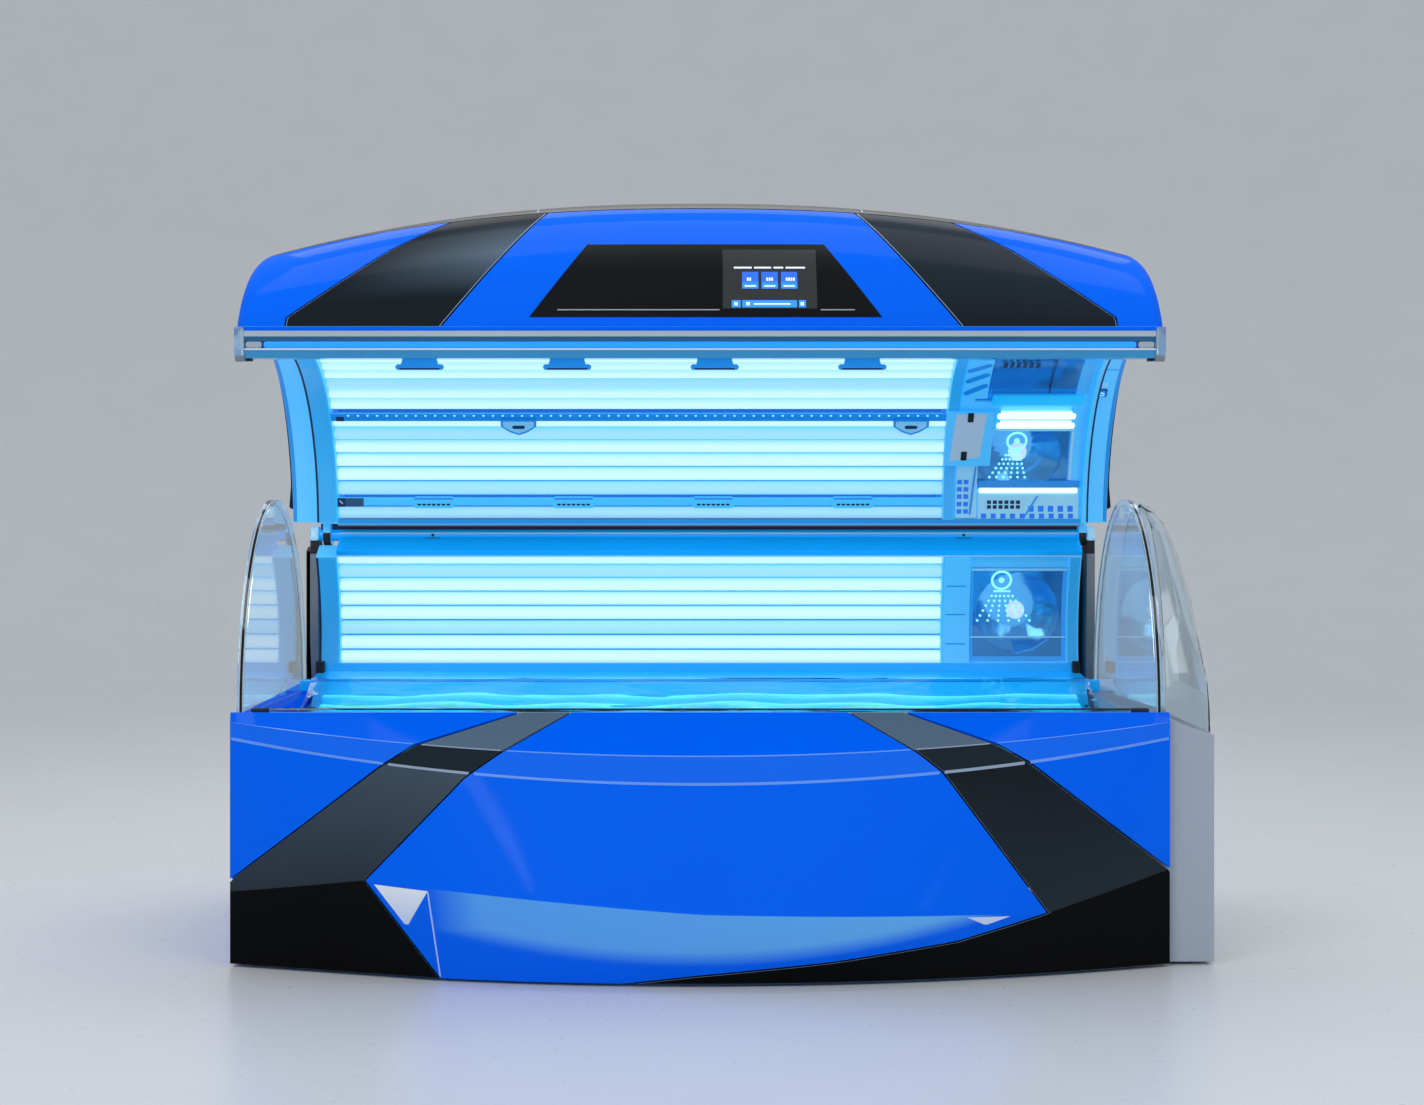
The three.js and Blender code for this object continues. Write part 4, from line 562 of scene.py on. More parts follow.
CREST_T = solve(lambda t: cover(0, t)[1], CREST_Y, 6.0)
COVER_OUTER = [(-1060, LIP_Z - 700), (-1016, LIP_Z), (-1014, LIP_Z + 24), (-774, LIP_Z + 207),
               (-640, LIP_Z + 290), (-400, LIP_Z + 500)]
COVER_INNER = [(-636, LIP_Z - 700), (-636, LIP_Z), (-432, LIP_Z + 262), (-250, LIP_Z + 500)]
COVER_SHIFT = 6.0
HALF_SEAM = SEAM / 2


def cover_edge(line, side, gap):
    """The x of a joint at t; side -1 is the left joint, 1 its mirror image on the right."""
    def at(t):
        x = line[1][0]
        for _ in range(12):
            x, slope = along(line, cover(x, t)[2])
        x += gap * math.hypot(1, slope)
        return x if side < 0 else COVER_SHIFT - x
    return at


def cover_end(side, t):
    """The rounded corner and the end wall of the cover, from the front round to the tunnel."""
    points = []
    for turn in spread(0, math.pi / 2, 6):
        x = side * (CANOPY_HALF - END_ROUND * (1 - math.sin(turn)))
        points.append(cover(x, t, -END_ROUND * (1 - math.cos(turn))))
    x, y, z = points[-1]
    spoke = Vector((y - CANOPY_ARC[0], z - CANOPY_ARC[1]))
    rest = max(spoke.length - OUTER_R, 1.0)
    for share in (0.12, 0.5, 1.0):
        y, z = Vector(CANOPY_ARC) + spoke * (1 - share * rest / spoke.length)
        points.append((x, y, z))
    return points


def cover_panel(name, left, right, slot, *finishes, sheen=None):
    """A panel between two joints; a joint that is a number, -1 or 1, is the cover's end."""
    rows, marks = [], []
    for t in spread(0.0, CREST_T - 0.02, 26):
        x0 = left(t) if callable(left) else left * (CANOPY_HALF - END_ROUND)
        x1 = right(t) if callable(right) else right * (CANOPY_HALF - END_ROUND)
        row = [cover(x, t) for x in spread(x0, x1, 24)]
        if not callable(left):
            row = cover_end(-1, t)[:0:-1] + row
        if not callable(right):
            row += cover_end(1, t)[1:]
        rows.append(row)
        marks += [sheen(j / 24, t / CREST_T) if sheen else 0.0 for j in range(len(row))]
    piece(name + "_skin", Shape().grid(rows, marks=marks), "canopy", slot, *finishes, replaces=[name], wall=COVER_WALL,
          bevel=1.6)


def canopy_cover():
    def joint(line, side, out):
        return cover_edge(line, side, out * HALF_SEAM)

    cover_panel("canopy_end_left", -1, joint(COVER_OUTER, -1, -1), "blue_gloss", BLUE)
    # The canopy stripes carry a painted sheen: a painted highlight up the middle of the left stripe, and a faint
    # painted sheen rising up the right one.
    cover_panel("canopy_stripe_left", joint(COVER_OUTER, -1, 1), joint(COVER_INNER, -1, -1),
                "black_satin", STRIPE, EDGE, sheen=lambda u, t: 0.08 + max(0.0, 0.9 - 3 * abs(t - 0.62)) * u)
    cover_panel("canopy_center_panel", joint(COVER_INNER, -1, 1), joint(COVER_INNER, 1, 1), "blue_gloss", BLUE)
    cover_panel("canopy_stripe_right", joint(COVER_INNER, 1, -1), joint(COVER_OUTER, 1, 1),
                "black_satin", STRIPE, EDGE, sheen=lambda u, t: 0.08 + 0.14 * t)
    cover_panel("canopy_end_right", joint(COVER_OUTER, 1, -1), 1, "blue_gloss", BLUE)
    inner = CANOPY_HALF - END_ROUND
    roof = Shape().grid([
        cover_end(-1, t)[::-1] + [cover(x, t) for x in spread(-inner, inner, 60)][1:-1] + cover_end(1, t)
        for t in spread(CREST_T + 0.02, COVER_LAST, 48)
    ])
    piece("canopy_roof_skin", roof, "canopy", "black_satin", BLACK, replaces=["canopy_roof"], wall=COVER_WALL,
          bevel=1.6)


canopy_cover()


def on_cover(u, v, w):
    return cover(u, cover_t(u, v), w)


def cover_patch(left, right, z0, z1, lift, columns=24, rows=10, shape=None):
    """A grid on the cover's front between two x(z) borders."""
    return (shape or Shape()).grid([
        [on_cover(x, z, lift) for x in spread(left(z), right(z), columns)] for z in spread(z0, z1, rows)
    ])


def straight(x):
    return lambda z: x


# Display on the canopy's front

DISPLAY_X = 14.0
DISPLAY_Z = (1590.0, 1780.0)
DISPLAY_HALF = (433.0, 296.0)
SCREEN_X = (56.0, 288.0)
SCREEN_Z = (1611.0, 1764.0)


def display_side(side, grow=0.0):
    def at(z):
        share = (z - DISPLAY_Z[0]) / (DISPLAY_Z[1] - DISPLAY_Z[0])
        return DISPLAY_X + side * (DISPLAY_HALF[0] + (DISPLAY_HALF[1] - DISPLAY_HALF[0]) * share + grow)
    return at


def display():
    piece("display_glass", cover_patch(display_side(-1), display_side(1), *DISPLAY_Z, 1.0), "canopy",
          "black_satin", BLACK, replaces=["display_panel"], wall=3.0, bevel=0.6)
    piece("screen_face", cover_patch(straight(SCREEN_X[0]), straight(SCREEN_X[1]), *SCREEN_Z, 1.6), "canopy",
          "screen_glass", SCREEN, replaces=["touchscreen"], wall=2.0, bevel=0.4)
    line = cover_patch(straight(-350), straight(SCREEN_X[0] - 8), 1607, 1609.4, 1.6, 40, 1)
    cover_patch(straight(SCREEN_X[1] + 8), straight(380), 1607, 1609.4, 1.6, 10, 1, line)
    piece("display_line", line, "canopy", "grey_plastic", GREY, wall=0.8)
    tiles, marks = Shape(), Shape()
    for column in range(3):
        x = SCREEN_X[0] + 48 + 48 * column
        cover_patch(straight(x), straight(x + 40), 1662, 1705, 2.0, 4, 4, tiles)
        for k in range(2 + column):
            cover_patch(straight(x + 12 + 6 * k), straight(x + 16 + 6 * k), 1682, 1690, 2.3, 1, 1, marks)
        cover_patch(straight(x + 6), straight(x + 34), 1667, 1670, 2.3, 2, 1, marks)
    tiles.marks = [1.0 if (i // 5) % 5 > 1 else 0.15 for i in range(len(tiles.points))]
    for x0, x1 in ((78, 100), (104, 238), (243, 260)):
        cover_patch(straight(x0), straight(x1), 1614, 1632, 2.0, 4, 1, tiles)
    tiles.marks += [0.8] * (len(tiles.points) - len(tiles.marks))
    for x in (84, 114, 247):
        cover_patch(straight(x), straight(x + 8), 1619, 1627, 2.3, 1, 1, marks)
    for x0, x1 in ((84, 128), (134, 176), (182, 206), (212, 260)):
        cover_patch(straight(x0), straight(x1), 1714, 1718, 2.3, 4, 1, marks)
    cover_patch(straight(132), straight(222), 1621, 1624, 2.3, 4, 1, marks)
    piece("screen_tiles", tiles, "canopy", "screen_glass", TILE, wall=0.5)
    piece("screen_marks", marks, "canopy", "screen_glass", TILE_PALE, wall=0.4)


display()


# Lip of the canopy: a rail with a lit bar, clips and end caps

LIP_FRONT = LIP_Y - 4
LIP_TOP = LIP_Z - FIT
LIP_LOW = LIP_TOP - 76
GROOVE_TOP = LIP_TOP - 24
GROOVE_LOW = LIP_TOP - 52
RAIL_HALF = CANOPY_HALF - 24 - FIT
BAR_HALF = 1068.0
CLIP_X = spread(LAMP_X0 + 290, LAMP_X1 - 253, 3)


def lip_face(z):
    """The y of the lip rail's face, above its groove or below it."""
    if z >= GROOVE_TOP:
        return LIP_FRONT + 4 * (LIP_TOP - z) / (LIP_TOP - GROOVE_TOP)
    return LIP_FRONT + 4 + 8 * (GROOVE_LOW - z) / (GROOVE_LOW - LIP_LOW)


def clip_outline(x):
    half = [(42, 3), (46, -12)]
    half += [(53 + 7 * math.cos(a), -19 + 7 * math.sin(a)) for a in spread(math.pi / 2, -math.pi / 2, 6)]
    return [(x + u, LIP_LOW + v) for u, v in half] + [(x - u, LIP_LOW + v) for u, v in half[::-1]]


def lip():
    for name, z0, z1, slot, made in (
        ("lip_band_blue", LIP_TOP - 9.4, LIP_TOP - 0.3, "blue_gloss", BLUE),
        ("lip_band_bright", GROOVE_TOP + 0.6, LIP_TOP - 9.8, "aluminium_rail", ALUMINIUM),
        ("lip_line", GROOVE_LOW - 4.4, GROOVE_LOW - 0.5, "white_plastic", WHITE),
    ):
        y0, y1 = lip_face(z0), lip_face(z1)
        profile = [(y0 - 0.8, z0), (y1 - 0.8, z1), (y1 + 1, z1), (y0 + 1, z0)]
        piece(name, Shape().sweep(profile, -RAIL_HALF, RAIL_HALF), "canopy", slot, made, bevel=0.4)
    bar_top = GROOVE_LOW + 16
    bar = Shape().prism(rounded(-BAR_HALF, BAR_HALF, GROOVE_LOW + 0.6, bar_top, 7), upright,
                        -LIP_FRONT - 14, -LIP_FRONT - 3)
    piece("lip_bar_glow", bar, "canopy", "light_bar", BAR, replaces=["lip_light_bar"], bevel=2.0)
    y0, y1 = LIP_FRONT + 5, LIP_FRONT + 16
    shade = [(y0, bar_top + 0.3), (y0, GROOVE_TOP - 0.3), (y1, GROOVE_TOP - 0.3), (y1, bar_top + 0.3)]
    piece("lip_bar_shade", Shape().sweep(shade, -RAIL_HALF, RAIL_HALF), "canopy", "light_bar", SHADE, bevel=1.0)
    ends, feet, clips, shades = Shape(), Shape(), Shape(), Shape()
    for side in (-1, 1):
        x0, x1 = sorted((side * (BAR_HALF + 5), side * (RAIL_HALF - 4)))
        ends.prism(rounded(x0, x1, GROOVE_LOW + 0.6, bar_top, 5), upright, -LIP_FRONT - 14, -LIP_FRONT - 5)
        x0, x1 = sorted((side * (RAIL_HALF - 12), side * (CANOPY_HALF - 1)))
        block(x0, x1, LIP_FRONT + 29, LIP_FRONT + 57, LIP_LOW - 6, LIP_LOW + 10, feet)
    piece("lip_bar_ends", ends, "canopy", "grey_plastic", GREY, bevel=1.0)
    piece("lip_cap_feet", feet, "canopy", "black_rubber", RUBBER, bevel=2.5)
    clip_y = -LIP_FRONT - 72
    for x in CLIP_X:
        clips.prism(clip_outline(x), upright, clip_y + 0.5, clip_y + 6.2)
        # Painted shade: a dark band across the lower part of each clip head.
        shades.prism(rounded(x - 50, x + 50, LIP_LOW - 25.5, LIP_LOW - 21.5, 1.5), upright, clip_y + 5, clip_y + 6.9)
    piece("lip_clips", clips, "canopy", "aluminium_rail", CLIP_PAINTED_GLOW, bevel=1.0)
    piece("lip_clip_shades", shades, "canopy", "black_satin", NAVY_GROOVE_AND_SHADE, bevel=0.4)


lip()

# Lamps


def lamp_bank(name, arc, angles, cyan, body):
    tubes, holders = Shape(), Shape()
    sides = 24
    for angle in angles:
        y, z = on_arc(arc, LAMP_R, angle)
        turn = math.radians(angle)
        inward = Vector((0, -math.cos(turn), -math.sin(turn)))
        up = Vector((1, 0, 0)).cross(inward)
        lit = 0.5 if angle in cyan else 1.0
        rows, values = [], []
        for x in (BANK_X0 + 1, BANK_X1 - 1):
            row = []
            for a in spread(0, 2 * math.pi, sides)[:-1]:
                off = inward * math.cos(a) + up * math.sin(a)
                row.append(tuple(Vector((x, y, z)) + off * (LAMP_D / 2)))
                values.append(lit * max(0.0, math.cos(a)) ** 0.8)
            rows.append(row)
        base = len(tubes.points)
        tubes.grid(rows, around=True, marks=values)
        tubes.faces += [list(range(base, base + sides)), list(range(base + sides, base + 2 * sides))]
    first, last = min(angles) - LAMP_PITCH / 3, max(angles) + LAMP_PITCH / 3
    for x0, x1 in ((LAMP_X0 - HOLDER_W, LAMP_X0 - 1), (LAMP_X1 + 1, LAMP_X1 + HOLDER_W)):
        holders.arc_band(arc, LAMP_R, LAMP_R + 19, first, last, x0, x1)
    piece(name + "_tubes", tubes, body, "lamp_glass", LAMP, replaces=[name])
    piece(name + "_holders", holders, body, "white_plastic", DEEP_TRIM_PAINTED_GLOW, bevel=0.8)


CANOPY_ANGLES = [first + LAMP_PITCH * k for first, count in CANOPY_LAMPS for k in range(count)]
BASE_ANGLES = [BASE_FIRST_LAMP + LAMP_PITCH * k for k in range(BASE_LAMPS)]
lamp_bank("canopy_lamps", CANOPY_ARC, CANOPY_ANGLES, CANOPY_ANGLES[:1] + CANOPY_ANGLES[1::4], "canopy")
lamp_bank("base_lamps", BASE_ARC, BASE_ANGLES, BASE_ANGLES[2::4], "base")

# Fittings inside the tunnels


def inlay(name, arc, radius, spots, body, slot, made, proud=0.8, deep=1.0, bevel=0.3):
    """Patches (x0, x1, a0, a1) on the inside of an arc."""
    shape = Shape()
    for x0, x1, a0, a1 in spots:
        shape.arc_band(arc, radius - proud, radius + deep, a0, a1, x0, x1)
    piece(name, shape, body, slot, made, bevel=bevel)


def bars(name, arc, radius, lines, width, body, slot, made, proud=0.8):
    """Round-ended bars on the inside of an arc, each between two (x, degrees) points."""
    shape = Shape()
    place = on_sheet(arc, radius, 0.0)
    for start, end in lines:
        (x0, a0), (x1, a1) = start, end
        outline = stadium((x0, math.radians(a0) * radius), (x1, math.radians(a1) * radius), width)
        shape.prism(outline, place, -0.5, proud)
    piece(name, shape, body, slot, made, bevel=0.3)


def burst(name, arc, radius, centre, reach, body, made):
    """Painted light: a ring with dotted rays that fan down from it to (x0, x1, degrees), standing in for a star of
    light streaks round a lamp.
    """
    x, a = centre
    x0, x1, low = reach
    place = on_sheet(arc, radius, 0.0)
    v = math.radians(a) * radius
    shape = Shape().collar(disc(x, v, 29, 24), disc(x, v, 23, 24), place, -0.5, 1.2)
    shape.prism(disc(x, v, 8), place, -0.5, 1.2)
    for end in spread(x0, x1, 5):
        for share in spread(0.28, 1.0, 6):
            u, w = x + (end - x) * share, a + (low - a) * share
            shape.prism(disc(u, math.radians(w) * radius, 3.6, 8), place, -0.5, 1.0)
    piece(name, shape, body, "white_plastic", made)


def canopy_ends():
    a0, a1 = CANOPY_START + 0.3, CANOPY_END - 0.3
    for name, radius, x0, x1, slot, made in (
        ("plate_left_edge", FLANGE_R, -FLANGE_END + 0.5, -FLANGE_END + 11, "blue_gloss", DEEP_TRIM_PAINTED_GLOW),
        ("plate_left_groove", TRIM_R, CHEEK_X0, CHEEK_X0 + 6, "black_satin", NAVY_GROOVE_AND_SHADE),
        ("plate_left_band", TRIM_R, CHEEK_X0 + 6.5, CHEEK_X1 - 4.5, "white_plastic", BAND_PAINTED_GLOW),
        ("plate_left_line", TRIM_R, CHEEK_X1 - 4, CHEEK_X1, "white_plastic", EDGE_LIT),
        ("plate_right_line", TRIM_R, HEAD_CHEEK_X0, HEAD_CHEEK_X0 + 4, "white_plastic", EDGE_LIT),
        ("plate_right_groove", TRIM_R, HEAD_CHEEK_X1 - 5, HEAD_CHEEK_X1, "black_satin", NAVY_GROOVE_AND_SHADE),
        ("plate_right_edge", FLANGE_R, FLANGE_END - 11, FLANGE_END - 0.5, "blue_gloss", DEEP_TRIM_PAINTED_GLOW),
    ):
        inlay(name, CANOPY_ARC, radius, [(x0, x1, a0, a1)], "canopy", slot, made)
    x = HEAD_CHEEK_X1 + 15
    inlay("plate_right_tag", CANOPY_ARC, FLANGE_R, [(x - 13, x + 13, 49.0, 51.0)], "canopy", "white_plastic", SOFT_PAINTED_GLOW)
    inlay("plate_right_seam", CANOPY_ARC, FLANGE_R, [(HEAD_CHEEK_X1, FLANGE_END - 12, 57.0, 57.4)], "canopy",
          "white_plastic", DEEP_TRIM_PAINTED_GLOW)
    flat = on_flat(CANOPY_ARC, FLANGE_R, 46.5, x)
    frame_shape = Shape().collar(rounded(-15, 15, -15, 15, 3), rounded(-11.6, 11.6, -11.6, 11.6, 1.5), flat, -0.5, 1.4)
    piece("button_frame", frame_shape, "canopy", "black_satin", NAVY_GROOVE_AND_SHADE, bevel=0.4)
    face = on_flat(CANOPY_ARC, FLANGE_R - 6, 46.5, x)
    sign = Shape().collar(disc(0, 0, 7, 20), disc(0, 0, 5.2, 20), face, -0.3, 0.5)
    sign.prism(rounded(-0.9, 0.9, 0.5, 7.6, 0.6), face, -0.3, 0.7)
    piece("button_sign", sign, "button", "light_bar", LED_AND_PAINTED_STREAKS)


def canopy_fittings():
    low, high = AIR_ANGLE - 1.5, AIR_ANGLE + 1.5
    inlay("air_rail_line", CANOPY_ARC, TRIM_R, [(BANK_X0, BANK_X1, low, low + 0.45)], "canopy", "white_plastic", DEEP_TRIM_PAINTED_GLOW)
    inlay("air_rail_end", CANOPY_ARC, TRIM_R, [(BANK_X0, BANK_X0 + 22, low, high)], "canopy", "black_satin", NAVY_GROOVE_AND_SHADE,
          proud=2.0)
    inlay("air_rail_block", CANOPY_ARC, TRIM_R, [(BANK_X0 + 22.4, BANK_X0 + 72, low + 0.2, high)], "canopy",
          "black_satin", SLATE, proud=3.0, bevel=1.0)
    bars("air_rail_hook", CANOPY_ARC, TRIM_R - 2, [((BANK_X0 + 7, AIR_ANGLE + 0.5), (BANK_X0 + 14, AIR_ANGLE - 0.3))],
         3.0, "canopy", "white_plastic", SOFT_PAINTED_GLOW)
    caps, slots = Shape(), Shape()
    for x in spread(LAMP_X0 + 252, LAMP_X1 - 234, 3):
        face = on_flat(CANOPY_ARC, TRIM_R - 7, AIR_ANGLE, x)
        caps.prism(rounded(-53, 53, 9, 14.6, 1.5), face, -0.5, 1.0)
        for u in spread(-40, 40, 6):
            slots.prism(rounded(u - 4.6, u + 4.6, -7.5, -2.5, 1.2), face, -0.5, 0.8)
    piece("nozzle_caps", caps, "canopy", "white_plastic", DEEP_TRIM_PAINTED_GLOW, bevel=0.4)
    piece("nozzle_slots", slots, "canopy", "black_rubber", RUBBER)
    leds = Shape()
    inlay("strip_top", CANOPY_ARC, TRIM_R, [(BANK_X0, BANK_X1, LIGHT_ANGLE + 0.4, LIGHT_ANGLE + 2.0)], "canopy",
          "white_plastic", DEEP_TRIM_PAINTED_GLOW, deep=6.0)
    place = on_sheet(CANOPY_ARC, TRIM_R - 0.8, LIGHT_ANGLE + 1.4)
    for x in spread(LAMP_X0 + 34, LAMP_X1 - 14, 61):
        leds.prism(rounded(x - 2.7, x + 2.7, -2.2, 2.2, 1.4, 2), place, -0.5, 0.9)
    piece("strip_leds", leds, "canopy", "light_bar", LED_AND_PAINTED_STREAKS)
    inlay("strip_end", CANOPY_ARC, TRIM_R, [(LAMP_X0, LAMP_X0 + 21, LIGHT_ANGLE - 0.9, LIGHT_ANGLE + 0.9)], "canopy",
          "black_satin", NAVY_GROOVE_AND_SHADE, proud=1.5)
    middle = LIGHT_ANGLE - math.degrees(25 / (PANE_R - 1.5))
    plates, ovals = Shape(), Shape()
    for x in (LAMP_X0 + 493, LAMP_X1 - 83):
        face = on_flat(CANOPY_ARC, TRIM_R - 7, middle, x)
        plates.prism([(0, -19), (21, -11), (42, 4), (42, 20), (-42, 20), (-42, 4), (-21, -11)], face, -0.5, 1.2)
        ovals.prism(stadium((-12, 2), (12, 2), 11), face, -0.5, 2.0)
    piece("bracket_plates", plates, "canopy", "white_plastic", SOFT_PAINTED_GLOW, bevel=0.8)
    piece("bracket_ovals", ovals, "canopy", "black_satin", NAVY_GROOVE_AND_SHADE, bevel=0.4)


def head_unit():
    top = CANOPY_END - 0.5
    inlay("partition_band", CANOPY_ARC, TRIM_R, [(PARTITION_X0 + 2.5, PARTITION_X1 - 2.5, 3.4, top)], "canopy",
          "white_plastic", BAND_PAINTED_GLOW)
    inlay("partition_lines", CANOPY_ARC, TRIM_R, [(PARTITION_X0, PARTITION_X0 + 2, 3.4, top),
          (PARTITION_X1 - 2, PARTITION_X1, 3.4, top)], "canopy", "white_plastic", EDGE_LIT)
    inlay("head_recess_plate", CANOPY_ARC, UNIT_R, [(703, 772, 48, 70)], "canopy", "white_plastic", PALE_PAINTED_GLOW, proud=6.0,
          bevel=2.0)
    bars("head_recesses", CANOPY_ARC, UNIT_R - 6, [((714, 50.8 + 6 * k), (760, 54.4 + 6 * k)) for k in range(3)], 17,
         "canopy", "white_plastic", DEEP_TRIM_PAINTED_GLOW, proud=1.2)
    inlay("head_upper_glass", CANOPY_ARC, UNIT_R, [(774, 1043, 50, 76)], "canopy", "clear_acrylic", SMOKED, proud=2.0,
          deep=0.0)
    inlay("head_vents", CANOPY_ARC, UNIT_R - 2, [(x, x + 11, 64, 67.2) for x in spread(799, 884, 5)], "canopy",
          "black_satin", NAVY_GROOVE_AND_SHADE)
    inlay("head_seams", CANOPY_ARC, UNIT_R - 2, [(935, 938, 50.2, 76), (776, 1041, 75.4, 76)], "canopy",
          "black_satin", NAVY_GROOVE_AND_SHADE)
    inlay("head_shelf", CANOPY_ARC, UNIT_R, [(786, 1033, 45, 49.6)], "canopy", "white_plastic", EDGE_LIT, proud=8.0,
          bevel=2.0)
    inlay("head_roof_lines", CANOPY_ARC, UNIT_R, [(703, 1048, a, a + 0.5) for a in (78, 84.5, 91)], "canopy",
          "white_plastic", DEEP_TRIM_PAINTED_GLOW)
    inlay("face_bezel", CANOPY_ARC, UNIT_R - 5.4, [(731, 1020, 34.4, 35.4), (1012, 1020, 16.6, 34.2)], "canopy",
          "white_plastic", SOFT_PAINTED_GLOW)
    burst("face_burst", CANOPY_ARC, UNIT_R - 5.4, (865, 30.6), (796, 893, 17.6), "canopy", LED_AND_PAINTED_STREAKS)
    tubes, ends = Shape(), Shape()
    for a in (37.8, 41.8):
        y, z = on_arc(CANOPY_ARC, UNIT_R - 15.3, a)
        tubes.lathe([(6, -106), (11, -103), (11, 103), (6, 106)], (908.5, y, z), (1, 0, 0))
    for x in (797, 1004):
        ends.arc_band(CANOPY_ARC, UNIT_R - 20, UNIT_R - 0.3, 36.4, 43.2, x, x + 16)
    piece("face_short_tubes", tubes, "canopy", "lamp_glass", WHITE_LAMP, replaces=["face_tubes"])
    piece("face_tube_ends", ends, "canopy", "white_plastic", PALE_PAINTED_GLOW, bevel=2.0)
    inlay("head_ledge", CANOPY_ARC, UNIT_R, [(766, 1045, 14.1, 16.3)], "canopy", "white_plastic", DEEP_TRIM_PAINTED_GLOW, proud=10.0,
          bevel=2.0)
    inlay("head_white_bar", CANOPY_ARC, UNIT_R, [(768, 1040, 12.1, 13.8)], "canopy", "lamp_glass", WHITE_LAMP,
          proud=9.0, bevel=3.0)
    inlay("head_low_panel", CANOPY_ARC, UNIT_R, [(766, 1045, 3.4, 11.8)], "canopy", "white_plastic", SOFT_PAINTED_GLOW, proud=4.0,
          bevel=1.0)
    face = UNIT_R - 4
    inlay("head_grid", CANOPY_ARC, face, [(x, x + 11, a, a + 1.2) for x in spread(792, 872, 5) for a in (6.8, 8.4)],
          "canopy", "black_satin", NAVY_GROOVE_AND_SHADE)
    bars("head_groove", CANOPY_ARC, face, [((930, 11), (897, 4.4))], 5, "canopy", "white_plastic", DEEP_TRIM_PAINTED_GLOW)
    squares = [(x, x + 15, 5.8, 7.8) for x in spread(906, 1014, 4)]
    squares += [(x, x + 14, 3.6, 5.2) for x in spread(776, 1016, 9)]
    inlay("head_squares", CANOPY_ARC, face, squares, "canopy", "light_bar", SQUARE)
    inlay("speaker_panel", CANOPY_ARC, UNIT_R, [(703, 763, 3.7, 22.3)], "canopy", "white_plastic", SOFT_PAINTED_GLOW, proud=7.0,
          bevel=2.0)
    face = UNIT_R - 7
    inlay("speaker_squares", CANOPY_ARC, face,
          [(x, x + 13, a, a + 1.5) for x in (708, 726) for a in spread(5.2, 15.2, 4)], "canopy", "light_bar", SQUARE)
    bars("speaker_groove", CANOPY_ARC, face, [((757, 21), (744, 5))], 5, "canopy", "white_plastic", DEEP_TRIM_PAINTED_GLOW)
    panel = on_flat(CANOPY_ARC, TRIM_R - FIT - 18, 33, PARTITION_X0 + 60)
    plate = Shape().prism([(-38, 79), (44, 82), (33, -58), (-49, -70)], panel, -0.5, 1.6)
    piece("panel_plate", plate, "canopy", "white_plastic", WHITE, bevel=1.2)
    clips = Shape().prism(rounded(-7, 9, 56, 84, 3), panel, -0.5, 4.0)
    clips.prism(rounded(-18, -2, -66, -38, 3), panel, -0.5, 4.0)
    piece("panel_clips", clips, "canopy", "black_rubber", RUBBER, bevel=1.2)


def hinge_dress():
    def turned(u, v, x):
        return x, HINGE_Y + u, HINGE_Z + v

    rings = Shape()
    for x0, x1 in ((CHEEK_X0 + 11.6, CHEEK_X0 + 32.4), (HEAD_CHEEK_X0 + FIT, HEAD_CHEEK_X1 + 0.4)):
        rings.collar(disc(0, 0, 29.2, 32), disc(0, 0, 27.6, 32), turned, x0, x1)
    piece("hinge_rings", rings, "canopy", "black_rubber", RUBBER, bevel=0.4)
    caps = Shape()
    outline = [(-29, -15), (36, -13), (28.8, 0.4), (16.8, 25), (-16.8, 25), (-28.8, 0)]
    for x0, x1 in ((CHEEK_X0 - 24.6, CHEEK_X0 - 1.4), (HEAD_CHEEK_X1 + 1.4, HEAD_CHEEK_X1 + 24.6)):
        caps.prism(outline, turned, x0, x1)
    piece("hinge_caps", caps, "base", "white_plastic", SOFT_PAINTED_GLOW, bevel=4.0)
    line = [(-15.6, 4), (-16.6, 6.5), (-15.0, 9), (-12, 9), (-12, 4)]
    piece("hinge_tube_line", Shape().prism(line, turned, CHEEK_X1, HEAD_X1), "base", "white_plastic", SOFT_PAINTED_GLOW)
    fin = [(6, -10), (6, 32), (9, 32), (9, -10)]
    piece("hinge_fin", Shape().prism(fin, turned, CHEEK_X0, HEAD_X1), "base", "black_satin", NAVY_GROOVE_AND_SHADE)
    skirt = [(-54, 34), (-54, 45), (-49, 45), (-49, 34)]
    piece("canopy_skirt", Shape().prism(skirt, turned, CHEEK_X1, HEAD_X1), "canopy", "blue_gloss", DEEP_TRIM_PAINTED_GLOW, bevel=0.8)
    edge = [(-54.6, 31), (-54.6, 33.8), (-50, 33.8), (-50, 31)]
    piece("canopy_skirt_line", Shape().prism(edge, turned, CHEEK_X1, HEAD_X1), "canopy", "white_plastic", EDGE_LIT)
    tabs = Shape()
    for x in (-742, 732):
        tabs.prism([(-19, -16), (-15, -16), (-15, -7), (-19, -7)], turned, x - 20, x + 20)
        tabs.lathe([(4, 0), (4, 2), (2.5, 3)], (x, HINGE_Y - 15, HINGE_Z + 1), (0, -1, 0), 12)
    piece("hinge_tabs", tabs, "base", "black_rubber", RUBBER, bevel=0.8)


